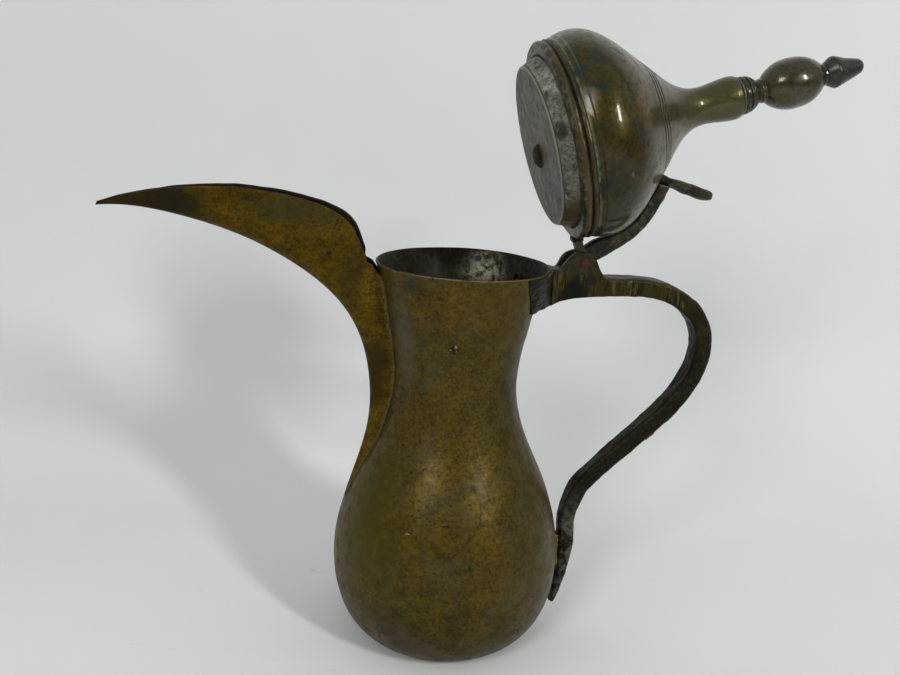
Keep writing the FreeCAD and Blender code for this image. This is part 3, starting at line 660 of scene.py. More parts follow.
# the inside of the spout's channel: its near-black tones are painted shade
gutter_shade_brass = patina(
    "gutter_shade_brass", (0.014, 0.012, 0.006), (0.024, 0.019, 0.006), spots=0.9, verdigris=0.4, rough=0.55, seed=12.0,
    scale=0.6, specular=0.15, coat=0.0)
collar_brass = patina(
    "collar_brass", (0.022, 0.028, 0.013), (0.04, 0.04, 0.014), green=(0.01, 0.034, 0.02), verdigris=0.9, rough=0.36,
    seed=16.0, scale=0.3, coat=0.4, coat_rough=0.15, facets=0.15)
lid_brass = patina(
    "lid_brass", (0.04, 0.033, 0.003), (0.08, 0.053, 0.0024), green=(0.01, 0.03, 0.014), haze=(0.075, 0.068, 0.026),
    verdigris=0.95, hazed=0.28, spots=1.1, rough=0.34, metallic=0.6, seed=3.0, scale=0.55, coat=0.44,
    coat_rough=0.13, facets=0.25, shaded=0.75, specular=0.1, lid=True, extra=dome_features)
ring_brass = patina(
    "ring_brass", (0.044, 0.032, 0.008), (0.066, 0.042, 0.008), verdigris=0.8, rough=0.4, metallic=0.45, seed=13.0,
    scale=0.5, coat=0.1, coat_rough=0.28, facets=0.3, shaded=0.7, lid=True, extra=ring_features)
cast_brass = patina(
    "cast_brass", (0.017, 0.014, 0.003), (0.034, 0.026, 0.005), haze=(0.034, 0.033, 0.016), spots=1.2, verdigris=0.4,
    seed=4.0, scale=0.45, shaded=0.8, edges=(WORN, 0.16, 0.6), coat=0.05, specular=0.08, extra=handle_features)
saddle_brass = patina(
    "saddle_brass", (0.017, 0.016, 0.006), (0.036, 0.032, 0.009), haze=(0.046, 0.046, 0.026), spots=1.2,
    verdigris=0.7, seed=14.0, scale=0.3, edges=((0.125, 0.118, 0.014), 0.08, 0.5), coat=0.03, specular=0.08,
    shaded=0.9, extra=saddle_features)
finial_brass = patina(
    "finial_brass", (0.034, 0.031, 0.011), (0.056, 0.044, 0.01), verdigris=0.6, rough=0.3, metallic=0.5, seed=5.0,
    scale=0.5, coat=0.6, coat_rough=0.12, facets=0.15)
cone_metal = patina(
    "cone_metal", (0.024, 0.027, 0.021), (0.036, 0.037, 0.024), verdigris=0.6, rough=0.34, metallic=0.4, seed=15.0,
    scale=0.4, coat=0.3, facets=0.15)
dark_brass = patina(
    "dark_brass", (0.015, 0.015, 0.009), (0.044, 0.039, 0.018), haze=(0.105, 0.098, 0.07), hazed=0.6, spots=0.9,
    verdigris=0.4, seed=6.0, scale=0.3, edges=((0.19, 0.175, 0.1), 0.15, 0.7), coat=0.15)
black_solder = patina(
    "black_solder", (0.007, 0.007, 0.005), (0.014, 0.013, 0.008), hazed=0.1, spots=0.9, seed=20.0, scale=0.2,
    coat=0.03, specular=0.1)
plug_tin = patina(
    "plug_tin", (0.14, 0.14, 0.1), (0.32, 0.32, 0.255), gold_share=0.5, spots=1.5, verdigris=0.6, hazed=0.3,
    haze=(0.05, 0.05, 0.035), shaded=0.8, rough=0.55, metallic=0.2, seed=7.0, scale=0.35, lid=True,
    extra=plug_features)
disc_tin = patina(
    "disc_tin", (0.047, 0.044, 0.019), (0.076, 0.074, 0.038), gold_share=0.4, spots=0.6, verdigris=0.3, hazed=0.2,
    rough=0.5, metallic=0.25, seed=17.0, scale=0.6, facets=0.3, lid=True, extra=disc_features)
tab_tin = patina("tab_tin", (0.05, 0.047, 0.027), (0.08, 0.075, 0.046), seed=18.0, scale=0.3)
pale_brass = patina("pale_brass", (0.12, 0.112, 0.06), (0.17, 0.16, 0.1), seed=8.0, scale=0.3, coat=0.3)
copper = patina(
    "copper", (0.06, 0.022, 0.011), (0.085, 0.034, 0.016), seed=9.0, scale=0.2,
    edges=((0.13, 0.05, 0.024), 0.3, 0.9))
iron = patina(
    "iron", (0.014, 0.013, 0.01), (0.032, 0.028, 0.018), seed=19.0, scale=0.2, edges=((0.12, 0.11, 0.08), 0.25, 0.8))
solder = patina(
    "solder", (0.05, 0.038, 0.009), (0.13, 0.096, 0.018), spots=1.0, verdigris=0.3, seed=10.0, scale=0.25,
    edges=((0.26, 0.2, 0.06), -0.2, 0.3))


# ---- pot body, in mm ----
FOOT_R, SHEET = 35.0, 1.2
BODY_LINE = [(FOOT_R + 25 * math.sin(math.pi / 12 * step), 42 * (1 - math.cos(math.pi / 12 * step)))
             for step in range(7)]
BODY_LINE += [(51.1, 84.0), (36.3, 116.0), (31.6, 140.0), (34.2, 164.0), (39.0, 186.5), (43.8, 200.3)]
BODY_CURVE = through(BODY_LINE)
BODY_SAMPLES = BODY_CURVE(np.linspace(0, 1, 2000))
BODY_ROWS, RIM_ROWS, BODY_COLUMNS = 230, 7, 256
# the slot through the neck into the spout: the height of its middle, half its straight length, half its width
SLOT_HEIGHT, SLOT_REACH, SLOT_HALF, SLOT_COLUMNS = 156.0, 32.0, 4.5, 5


def body_radius(height):
    """Outside radius of the pot at heights."""
    return np.interp(height, BODY_SAMPLES[:, 1], BODY_SAMPLES[:, 0])


def flange(angle, height):
    """How far the neck is drawn out towards the spout, at angles from the spout's side."""
    window = np.clip((height - 100.0) / 30.0, 0, 1) * np.clip((199.0 - height) / 22.0, 0, 1)
    return 1.7 * np.exp(-(angle / 0.4)**2) * eased(window)


def pot_wobble(points):
    """Unevenness of the hammered wall, still near the handle and calm at the mouth."""
    calm = np.exp(-((np.arctan2(points[..., 1], points[..., 0]) / 0.6)**2)) * (points[..., 2] > 165)
    mouth = 1 - 0.7 * np.clip((points[..., 2] - 182.0) / 12.0, 0, 1)
    return (0.2 * field(points, 70, 1) + 0.06 * field(points, 17, 2)) * (1 - calm) * mouth


def pot_profile():
    """The section of the wall (radius, height): up the outside, over the rim, down the inside, round the foot."""
    line = BODY_CURVE(np.linspace(0, 0.9975, BODY_ROWS))
    along = np.gradient(line, axis=0)
    along /= np.linalg.norm(along, axis=1)[:, None]
    out = np.stack([along[:, 1], -along[:, 0]], axis=-1)
    inner = line - SHEET * out
    inner[:, 1] = np.maximum(inner[:, 1], SHEET)
    turn = math.atan2(out[-1][1], out[-1][0]) + np.linspace(0, math.pi, RIM_ROWS + 2)[1:-1]
    rim = line[-1] + SHEET / 2 * (np.stack([np.cos(turn), np.sin(turn)], axis=-1) - out[-1])
    foot = np.array([(33.0, SHEET), (31.05, SHEET), (31.05, 0.4), (31.4, 0.0), (33.0, 0.0)])
    return np.concatenate([line, rim, inner[::-1], foot]), line


def pot_angles(line, total):
    """Angles of the points from the spout's side, drawn together so that columns follow the edge of the slot."""
    offset = np.linspace(0, 2 * math.pi, BODY_COLUMNS, endpoint=False)
    offset = np.where(offset > math.pi, offset - 2 * math.pi, offset)
    step = 2 * math.pi / BODY_COLUMNS
    aside = np.abs(line[:, 1] - SLOT_HEIGHT)
    width = np.sqrt(np.maximum(SLOT_HALF**2 - np.clip(aside - SLOT_REACH, 0, SLOT_HALF)**2, 0.6))
    squeeze = np.arcsin(width / line[:, 0]) / (SLOT_COLUMNS * step)
    fade = eased(1 - np.clip((np.abs(offset) - SLOT_COLUMNS * step) / (28 * step), 0, 1))
    near_slot = np.clip((SLOT_REACH + 10 - aside) / 5.5, 0, 1)
    pulled = offset[None] * (1 + (squeeze - 1)[:, None] * near_slot[:, None] * fade[None])
    angles = np.tile(offset, (total, 1))
    angles[:BODY_ROWS] = pulled
    angles[BODY_ROWS + RIM_ROWS:2 * BODY_ROWS + RIM_ROWS] = pulled[::-1]
    return angles


def slot_bridges(slot_face, number):
    """Faces across the wall's thickness round the slot."""
    mirror = 2 * BODY_ROWS + RIM_ROWS - 1
    bridges = []
    for row, column in np.argwhere(slot_face[:BODY_ROWS - 1]):
        next_column, last_column = (column + 1) % BODY_COLUMNS, (column - 1) % BODY_COLUMNS
        beside = ((row - 1, column), (row, next_column), (row + 1, column), (row, last_column))
        corners = [(row, column), (row, next_column), (row + 1, next_column), (row + 1, column)]
        for side, face in enumerate(beside):
            if not slot_face[face]:
                first, second = corners[side], corners[(side + 1) % 4]
                bridges.append([int(number[place]) for place in (first, second, (mirror - second[0], second[1]),
                                                                 (mirror - first[0], first[1]))])
    return bridges


def pot_body():
    """The wall of the pot, its rim, foot and slot, with its unevenness and knocks."""
    profile, line = pot_profile()
    total, heights = len(profile), line[:, 1]
    outer_rows, inner_rows = slice(0, BODY_ROWS - 1), slice(BODY_ROWS + RIM_ROWS, 2 * BODY_ROWS + RIM_ROWS - 1)
    full = pot_angles(line, total) + math.pi
    flat = np.stack([np.cos(full), np.sin(full), 0 * full], axis=-1)
    points = flat * profile[:, :1, None] + np.array([0, 0, 1.0]) * profile[:, 1:, None]
    outer_height = np.concatenate([heights, np.full(RIM_ROWS, heights[-1]), heights[::-1],
                                   np.zeros(total - 2 * BODY_ROWS - RIM_ROWS)])[:, None]
    pivot = points * [1, 1, 0] + np.array([0, 0, 1]) * outer_height[..., None]
    push = pot_wobble(pivot) * np.clip(outer_height / 6.0, 0, 1)
    points = points + flat * (push + pot_dents(pivot) + flange(full - math.pi, outer_height))[..., None]
    near_rim = np.clip((outer_height - 190.0) / 10.3, 0, 1)
    lowered = 0.2 + 0.12 * field(points * [1, 1, 0], 30, 5) + 0.5 * np.exp(-((full - math.pi - 0.62) / 0.09)**2)
    points[..., 2] -= near_rim**2 * np.clip(lowered, 0.06, 0.6)
    column = np.arange(BODY_COLUMNS)
    in_columns = (column < SLOT_COLUMNS) | (column >= BODY_COLUMNS - SLOT_COLUMNS)
    in_rows = np.abs((heights[:-1] + heights[1:]) / 2 - SLOT_HEIGHT) < SLOT_REACH + SLOT_HALF
    slot_face = np.zeros((total - 1, BODY_COLUMNS), bool)
    slot_face[outer_rows] = in_rows[:, None] & in_columns[None]
    slot_face[inner_rows] = slot_face[outer_rows][::-1]
    bridges = slot_bridges(slot_face, np.arange(total * BODY_COLUMNS).reshape(total, BODY_COLUMNS))
    bright = np.zeros((total, BODY_COLUMNS))
    bright[BODY_ROWS:BODY_ROWS + 3] = 1.0
    mesh = grid("pot_body", points * MM, True, slot_face, {"rim": bright}, loop=True, more=bridges)
    inside = np.zeros((total - 1, BODY_COLUMNS), np.int32)
    inside[BODY_ROWS + 2:2 * BODY_ROWS + RIM_ROWS] = 1
    index = [inside[~slot_face], np.zeros(BODY_COLUMNS, np.int32), np.ones(len(bridges), np.int32)]
    mesh.polygons.foreach_set("material_index", np.concatenate(index))
    mesh.validate()
    add_object("pot_body", mesh, "pot", [body_brass, inside_tin], ["body_shell"])


def pot_dents(points):
    """Small knocks in the wall."""
    knocks = [(-6.8, -33.6, 164.8, 1.0), (-5.6, -34.0, 166.0, 0.6), (-8.0, -33.4, 163.9, 0.6)]
    wide = [(-28.0, -28.0, 192.0, 1.0), (30.0, -46.0, 70.0, 1.3), (-20.0, -55.0, 50.0, 1.2), (10.0, 52.0, 60.0, 1.3),
            (48.0, 30.0, 40.0, 1.0), (8.0, -33.0, 140.0, 0.9), (-10.0, 36.0, 170.0, 0.9)]
    return -0.22 * lumps(points, knocks, 1.6) - 0.32 * lumps(points, wide, 9.0)


# ---- spout, in mm ----
# the radius that the lips keep clear of, for the ring of the shut lid, and from what height
RING_CLEAR, CLEAR_FROM = 48.95, 199.3
SPOUT_KEEL = [(-55.5, 74.0), (-49.6, 94.0), (-44.2, 118.0), (-44.6, 140.0), (-52.0, 166.0), (-62.8, 181.3), (-79.0,
                                                                                                             194.6),
              (-104.0, 208.2), (-137.0, 218.4), (-163.0, 222.0), (-174.4, 221.4)]
SPOUT_EDGE = [(-48.0, 74.0), (-34.0, 94.0), (-24.0, 118.0), (-22.0, 146.0), (-28.0, 180.0), (-49.2, 203.8), (-56.8,
                                                                                                             218.0),
              (-78.0, 229.2), (-112.0, 233.4), (-157.0, 228.2), (-173.6, 223.2)]
SPOUT_HALF_WIDTH = [2.6, 4.8, 6.2, 6.8, 7.3, 8.6, 9.3, 8.8, 6.8, 3.0, 0.8]
SPOUT_SHAPE = [(-1.0, 1.0), (-0.97, 0.66), (-0.78, 0.26), (-0.42, 0.055), (0.0, 0.0), (0.42, 0.055), (0.78, 0.26),
               (0.97, 0.66), (1.0, 1.0)]


def spout_rings(rows, side_columns):
    """Points round the sheet of the spout at each station: outside, one lip, inside, the other lip."""
    shares = np.linspace(0, 1, rows)
    keel, edge = (np.insert(through(line)(shares), 1, 0.0, axis=1) for line in (SPOUT_KEEL, SPOUT_EDGE))
    half = np.interp(shares * 10, range(11), SPOUT_HALF_WIDTH)[:, None]
    depth = np.linalg.norm(edge - keel, axis=1)[:, None]
    up = (edge - keel) / depth
    top = depth + (0.09 * field(edge, 30, 21) + 0.06 * field(edge, 8, 22))[:, None]
    hollow = eased(np.clip((0.925 - shares) / 0.05, 0, 1))
    shape = through(SPOUT_SHAPE, np.linspace(0, 1, 9))(np.linspace(0, 1, side_columns))
    aside, above = shape[:, 0], shape[:, 1]
    lip = np.minimum(0.55, 0.4 * half)
    thin = np.maximum(half - SHEET, 0.3 * half)

    def at(across, over):
        return keel[:, None] + np.array([0.0, 1.0, 0.0]) * across[..., None] + up[:, None] * over[..., None]
    lift = np.exp(-((shares - 0.555) / 0.055)**2)[:, None]
    fuller = up[:, None] * (lift * (0.7 + 0.85 * (1 + aside)) * above**2)[..., None]
    outside = at(half * aside, above * (top - lip)) + fuller
    flat_top = at(thin * aside, top - 0.35 * lip + 0 * aside)
    inside = at(thin * aside, SHEET + above * (top - lip - SHEET))
    inside = flat_top + (inside - flat_top) * hollow[:, None, None] + fuller
    turn = np.linspace(0, math.pi, 7)[1:-1]
    bead_across, bead_over = (half + thin) / 2 + (half - thin) / 2 * np.cos(turn), top - lip + lip * np.sin(turn)
    near = fuller[:, -1:] + at(bead_across, bead_over)
    far = fuller[:, :1] + at(-bead_across, bead_over)[:, ::-1]
    return np.concatenate([outside, near, inside[:, ::-1], far], axis=1), hollow


def depth_in_pot(points):
    """How far points lie inside the outer face of the pot, measured about square to it."""
    radius = np.hypot(points[..., 0], points[..., 1])
    slope = (body_radius(points[..., 2] + 1) - body_radius(points[..., 2] - 1)) / 2
    spread = flange(np.arctan2(points[..., 1], -points[..., 0]), points[..., 2])
    return (body_radius(points[..., 2]) + spread - radius) / np.sqrt(1 + slope**2)


def drawn_out(points, limit):
    """Points deeper than a limit in the pot are brought out to it."""
    depth = depth_in_pot(points)
    radius = np.hypot(points[..., 0], points[..., 1])
    grown = np.where(depth > limit, (radius + depth - limit) / np.maximum(radius, 1e-6), 1.0)
    return points * np.stack([grown, grown, np.ones_like(grown)], axis=-1)


def spout():
    """The folded sheet of the spout, open at the top, cut away where it would lie inside the wall of the pot."""
    rows, side_columns, lip_columns = 240, 65, 5
    points, hollow = spout_rings(rows, side_columns)
    points[0] += [3.0, 0, 0]
    calm = np.clip(np.arange(rows) / rows * 4, 0, 1)[:, None] * np.clip(hollow + 0.2, 0, 1)[:, None]
    points[..., 1] += 0.16 * field(points, 34, 23) * calm
    points[..., 0] -= (np.maximum(RING_CLEAR - np.hypot(points[..., 0], points[..., 1]), 0)
                       * np.clip(points[..., 2] - CLEAR_FROM, 0, 1))
    deep = depth_in_pot(points)
    right = np.roll(deep, -1, axis=1)
    skip = np.minimum(np.minimum(deep[:-1], right[:-1]), np.minimum(right[1:], deep[1:])) > 0.5
    points = drawn_out(points, 0.8)
    seam = np.exp(-(np.maximum(-deep, 0) / 1.6)**2)
    columns = points.shape[1]
    # the lip mark carries the painted shade along the lips
    index = np.arange(columns)
    far = np.minimum(np.abs(index - (side_columns + 2)), np.abs(index - (columns - 3)))
    lip = np.tile(np.clip(1 - np.minimum(far, columns - far) / 7.0, 0, 1), (rows, 1))
    mesh = grid("spout_sheet", points * MM, True, skip, {"seam": seam, "lip": lip}, cap_last=True)
    # the faces inside the channel take the dark material, painted shade
    inner = np.zeros((rows - 1, columns), np.int32)
    inner[:, side_columns + lip_columns:2 * side_columns + lip_columns - 1] = hollow[:-1, None] > 0.02
    mesh.polygons.foreach_set("material_index", np.append(inner[~skip], 0).astype(np.int32))
    tidy_mesh(mesh)
    add_object("spout_sheet", mesh, "pot", [spout_brass, gutter_shade_brass], ["spout"])


def seam_solder():
    """A rough bead of solder where each side of the spout meets the wall."""
    rings, _ = spout_rings(480, 65)
    beads = []
    for order in (range(32, -1, -1), range(32, 65)):
        path = []
        for ring in rings:
            line = ring[list(order)]
            depth = depth_in_pot(line)
            crossing = np.argmax(depth > 0)
            if depth[0] < 0 < depth[crossing]:
                share = depth[crossing] / (depth[crossing] - depth[crossing - 1])
                path.append(line[crossing] + share * (line[crossing - 1] - line[crossing]))
        beads.append(np.array(path))
    parts = []
    for number, path in enumerate(beads):
        for _ in range(6):
            path[1:-1] = 0.5 * path[1:-1] + 0.25 * (path[:-2] + path[2:])
        along = np.gradient(path, axis=0)
        along /= np.linalg.norm(along, axis=1)[:, None]
        out = path * [1, 1, 0]
        out /= np.linalg.norm(out, axis=1)[:, None]
        across = np.cross(along, out)
        across /= np.linalg.norm(across, axis=1)[:, None]
        out = np.cross(across, along)
        ends = np.clip(np.minimum(np.arange(len(path)), np.arange(len(path))[::-1]) / 8.0, 0.15, 1)
        size = ends * (0.62 + 0.16 * field(path, 5, 31 + number) + 0.1 * field(path, 1.8, 33 + number))
        turn = np.linspace(0, 2 * math.pi, 10, endpoint=False)
        ring = (np.cos(turn)[None, :, None] * across[:, None] * 1.2 + np.sin(turn)[None, :, None] * out[:, None])
        parts.append(path[:, None] + ring * size[:, None, None])
    mesh = bpy.data.meshes.new("seam_solder")
    form = bmesh.new()
    for part in parts:
        verts = [[form.verts.new(p * MM) for p in row] for row in part]
        for a, b in zip(verts[:-1], verts[1:]):
            for i in range(10):
                form.faces.new((a[i], a[i - 1], b[i - 1], b[i]))
        form.faces.new(verts[0])
        form.faces.new(verts[-1][::-1])
    bmesh.ops.recalc_face_normals(form, faces=form.faces)
    form.to_mesh(mesh)
    form.free()
    smooth(mesh)
    mesh.attributes.new("edge", "FLOAT", "POINT")
    add_object("seam_solder", mesh, "pot", [solder], ["spout_seam_solder"])


# ---- lid, in its own space: heights in mm up from the underside of the plug ----
DOME_LINE = [(47.9, 14.6), (50.0, 22.5), (49.4, 29.4), (45.4, 37.6), (34.6, 49.2), (22.6, 60.8), (13.4, 70.6),
             (9.5, 79.6), (10.0, 91.0), (10.6, 98.6)]
CUT_LINES, CUT_WIDTH, CUT_DEPTH = (53.4, 55.2, 57.0), 0.3, 0.32
LID_COLUMNS, FINIAL_COLUMNS, DISC_COLUMNS = 256, 96, 160


def lid_piece(name, profile, material, node, wobble, columns=LID_COLUMNS, solid=False, marks=None, extra=None):
    """A piece turned from a profile. Wobble is its amount, size and seed, and extra gives more shaping."""
    points = spun(profile, columns)
    flat = points * [1, 1, 0]
    radius = np.linalg.norm(flat, axis=-1, keepdims=True)
    amount, size, seed = wobble
    push = amount * field(points, size, seed)
    if extra is not None:
        push = push + extra(points)
    points = points + flat / np.maximum(radius, 1e-6) * push[..., None] * np.clip(radius / 6.0, 0, 1)
    mesh = grid(name, points * MM, True, None, {key: make(points) for key, make in (marks or {}).items()},
                not solid, solid, solid)
    tidy_mesh(mesh)
    return add_object(name, mesh, "lid", [material], [node], LID_PLACE)


def dome_cuts(points):
    """1 in the engraved lines, 0 away from them."""
    return np.clip(sum(np.exp(-((points[..., 2] - height) / CUT_WIDTH)**2) for height in CUT_LINES), 0, 1)


def dome_shape(points):
    """The engraved lines, the knocks and the gash near the ring."""
    knocks = [(-20.0, -44.0, 19.0, 1.2), (10.0, -47.0, 34.0, 1.0), (-30.0, 30.0, 30.0, 1.2), (20.0, 40.0, 24.0, 1.0)]
    gash = (np.exp(-((np.arctan2(points[..., 1], points[..., 0]) + 1.13) / 0.075)**2)
            * np.exp(-((points[..., 2] - 16.0) / 0.9)**2))
    return -CUT_DEPTH * dome_cuts(points) - 0.25 * lumps(points, knocks, 7.0) - 0.5 * gash


def dome_profile():
    """The dome with its spire, sampled finely where it is engraved."""
    curve = through(DOME_LINE)(np.linspace(0, 1, 3000))
    heights = np.concatenate([np.arange(14.6, 17.6, 0.25), np.arange(17.6, 52.4, 0.8), np.arange(52.4, 58.0, 0.12),
                              np.arange(58.0, 98.6, 0.8)])
    side = np.stack([np.interp(heights, curve[:, 1], curve[:, 0]), heights], axis=-1)
    top = rounded([(10.6, 98.6), (10.3, 100.7), (9.4, 101.6), (2.6, 101.6)], 0.3, 0.2)
    return np.concatenate([[(0.5, 15.4), (44.0, 15.4), (47.2, 14.7)], side, top, [(0.5, 101.6)]])


def closing_disc():
    """The disc under the plug, a little buckled, still at its edge."""
    profile = np.concatenate([refined([(0.5, 0.0), (37.6, 0.0)], 1.5),
                              rounded([(37.6, 0.0), (38.5, 0.12), (38.7, 0.5), (38.4, 0.9)], 0.15, 0.12)[1:],
                              [(30.0, 0.95), (0.5, 0.95)]])
    points = spun(profile, DISC_COLUMNS)
    radius = np.hypot(points[..., 0], points[..., 1])
    buckle = 0.16 * field(points * [1, 1, 0], 26, 44) + 0.05 * field(points * [1, 1, 0], 8, 45)
    points[..., 2] += buckle * np.clip((38.0 - radius) / 6.0, 0, 1)
    mesh = grid("disc", points * MM, True, None, {"out": radius * MM}, cap_first=True, cap_last=True)
    tidy_mesh(mesh)
    add_object("disc", mesh, "lid", [disc_tin], ["closing_disc"], LID_PLACE)


def lid_pieces():
    """The turned pieces of the lid, from the dome to the plug and then up the finial."""
    lid_piece("dome", dome_profile(), lid_brass, "lid_dome", (0.16, 45.0, 41), solid=True,
              marks={"cut": dome_cuts}, extra=dome_shape)
    ridge = through([(45.8, 7.6), (47.5, 8.4), (48.0, 9.8), (47.6, 11.2), (46.9, 11.9)])(np.linspace(0, 1, 24))
    seat = rounded([(46.9, 11.9), (47.7, 12.5), (48.2, 13.5), (47.9, 14.5), (47.2, 14.6)], 0.25, 0.2)
    ring = np.concatenate([refined([(42.2, 7.6), (45.8, 7.6)], 0.8)[:-1], ridge, seat[1:], [(42.2, 14.6)]])
    lid_piece("rim_ring", ring, ring_brass, "lid_rim_ring", (0.12, 24.0, 42),
              extra=lambda p: 0.12 * field(p, 6.0, 52) + 0.07 * field(p, 2.2, 55))
    wall = rounded([(38.1, 1.0), (38.6, 0.95), (39.0, 1.4), (41.45, 7.2), (41.65, 8.0), (41.65, 14.4), (40.9, 14.4),
                    (40.9, 8.0), (38.0, 1.6)], 0.3, 0.35)
    lid_piece("plug_wall", wall, plug_tin, "lid_plug_wall", (0.04, 20.0, 43),
              extra=lambda p: ((0.11 * field(p, 5.0, 53) + 0.07 * field(p, 2.2, 54))
                               * (p[..., 2] < 7.4) * (p[..., 2] > 1.5)))
    closing_disc()
    washer = rounded([(2.8, 101.65), (9.0, 101.65), (9.6, 102.0), (9.6, 102.6), (9.0, 102.95), (2.8, 102.95)],
                     0.2, 0.16)
    collar = rounded([(2.8, 103.0), (8.6, 103.0), (9.3, 104.0), (9.2, 105.4), (8.2, 105.9), (8.9, 106.4), (8.6,
                                                                                                           107.8),
                      (7.7, 108.2), (8.0, 108.8), (6.7, 110.6), (5.7, 111.8), (5.5, 112.75), (2.8, 112.75)],
                     0.22, 0.16)
    egg = through([(5.4, 114.8), (9.6, 119.2), (11.9, 125.0), (12.3, 130.6), (11.2, 137.2), (8.4, 142.4),
                   (5.2, 145.8)])(np.linspace(0, 1, 70))
    egg = np.concatenate([rounded([(2.8, 112.8), (5.5, 112.8), (6.0, 113.6), (5.4, 114.8)], 0.25, 0.16)[:-1], egg,
                          rounded([(5.2, 145.8), (5.2, 147.0), (2.8, 147.0)], 0.2, 0.16)[1:]])
    cone = rounded([(0.5, 147.0), (5.2, 147.0), (5.8, 148.0), (7.7, 151.8), (7.6, 152.8), (3.7, 165.2), (2.7, 166.6),
                    (0.5, 167.0)], 0.35, 0.2)
    for name, profile, slot, look, wobble in (("washer", washer, "pale_brass", pale_brass, (0.06, 9.0, 46)),
                                              ("collar", collar, "finial_brass", collar_brass, (0.06, 9.0, 46)),
                                              ("egg", egg, "finial_brass", finial_brass, (0.1, 14.0, 47)),
                                              ("cone", cone, "finial_brass", cone_metal, (0.08, 10.0, 48))):
        lid_piece(name, profile, look, "finial_" + name, wobble, FINIAL_COLUMNS, name == "cone")


# ---- cast and forged pieces, from their CAD shapes, in metres ----
def rough_casting(size, amount, seed):
    """A function for how far each point of a casting stands out, from sizes in mm. Nothing near the hinge."""
    def shape(place):
        points = place / MM
        away = 1 - np.exp(-(np.linalg.norm(points - np.array(HINGE / MM), axis=1) / 7.0)**4)
        return MM * away * (amount * field(points, size, seed) + 0.4 * amount * field(points, size / 3, seed + 1))
    return shape


def leaf_form(place):
    """The thumb leaf, fuller than in the CAD, drawn thin near its root and rounded at its end."""
    middle, fall = place.mean(axis=0), math.radians(15.7)
    way = np.array([math.cos(fall), 0.0, -math.sin(fall)])
    thick_way = np.array([-way[2], 0.0, way[0]])
    along, thick = (place - middle) @ way, (place - middle) @ thick_way
    reach = (along - along.min()) / (along.max() - along.min())
    tip = np.sqrt(np.clip(1 - (np.maximum(reach - 0.8, 0) / 0.205)**2, 0.02, 1))
    waist = 1.5 - 0.45 * np.exp(-((reach - 0.22) / 0.16)**2)
    return place + thick_way * ((tip * waist - 1) * thick)[:, None]


def foot_form(place):
    """The solder at the strap's foot, run out along the strap and the ring but hardly wider."""
    middle = place.mean(axis=0)
    return middle + (place - middle) * np.array([1.7, 1.05, 1.7])


def disc_fin():
    """The worn fin that stands on the closing disc, thin and bowed at its outer edge. In mm."""
    rows, columns, start, length, out, thick, sunk = 60, 36, -1.5, 11.8, 3.4, 1.1, 0.25
    share = np.linspace(0, 1, rows)[:, None]
    turn = np.linspace(0, 2 * math.pi, columns, endpoint=False)
    swell = np.maximum(np.sin(math.pi * share), 0.0)
    wide = thick / 2 * (0.55 + 0.45 * swell)
    across = wide * np.sign(np.cos(turn)) * np.abs(np.cos(turn))**0.6 + 0.5 * np.sin(2.2 * share)
    down = sunk - (out * swell**0.55 + 0.15 + sunk) * (0.5 - 0.5 * np.sin(turn))
    points = np.stack([start + length * share + 0 * turn, across, down], axis=-1)
    points[..., 1] += 0.1 * field(points, 5, 71)
    mesh = grid("fin", points * MM, cap_first=True, cap_last=True)
    tidy_mesh(mesh)
    add_object("fin", mesh, "lid", [tab_tin], ["disc_tab"], LID_PLACE)


def handle_inner_shade(place, normal):
    """Where a face of the grip looks towards the pot, for the painted shade there."""
    return (np.clip(-normal[:, 0] * 0.9 - 0.2 * normal[:, 2], 0, 1)
            * (np.abs(normal[:, 1]) < 0.5) * (place[:, 0] > 0.078))


def handle_upper_sheen(place, normal):
    """Where a face of the grip's level part looks up, for the painted sheen there."""
    return np.clip(normal[:, 2], 0, 1) * (place[:, 0] > 0.07) * (place[:, 2] > 0.15)


# CAD node, piece, voxel in mm, body, slot, material, roughness, relaxing steps, then marks and form if any
CASTINGS = [
    ("handle", "handle_casting", 0.4, "pot", "cast_brass", cast_brass, (14.0, 0.14, 61), 3,
     {"inner": handle_inner_shade, "upper": handle_upper_sheen}),
    ("neck_saddle", "saddle", 0.35, "pot", "cast_brass", saddle_brass, (9.0, 0.16, 62), 3),
    ("lid_strap", "strap", 0.3, "lid", "dark_brass", dark_brass, (8.0, 0.1, 63), 3),
    ("thumb_tab", "thumb_leaf", 0.25, "lid", "dark_brass", dark_brass, (7.0, 0.1, 64), 3, None, leaf_form)]
SMALL_CASTINGS = [
    ("saddle_rivets", "neck_rivets", 0.16, "pot", "copper", iron, (2.5, 0.08, 66), 2),
    ("hinge_pin", "pin", 0.2, "pot", "copper", copper, None, 2),
    ("strap_rivet", "leaf_rivet", 0.22, "lid", "solder", solder, (3.0, 0.12, 67), 3),
    ("strap_foot_solder", "foot_solder", 0.2, "lid", "solder", black_solder, (2.5, 0.12, 68), 2, None, foot_form),
    ("tail_solder", "belly_solder", 0.3, "pot", "solder", solder, (3.0, 0.12, 69), 2)]


def cast_pieces(table):
    for node, name, voxel, body, slot, look, roughness, relax, *more in table:
        remade(node, name, voxel * MM, body, slot, look, roughness and rough_casting(*roughness), relax, *more)


# ---- floor, backdrop and light ----
BEND_START, BEND, TOP, SIDE = 0.1, 0.22, 3.0, 12.0
FAR_START, FAR_BEND, FAR_TOP = 1.6, 1.0, 6.0


def swept(start, bend, top):
    """Places (out, up) along a sheet that lies flat up to a start, then curves up to a height."""
    turn = np.linspace(0, math.pi / 2, 25)
    curve = np.stack([start + bend * np.sin(turn), bend * (1 - np.cos(turn))], axis=-1)
    return np.concatenate([curve, [(start + bend, top)]])


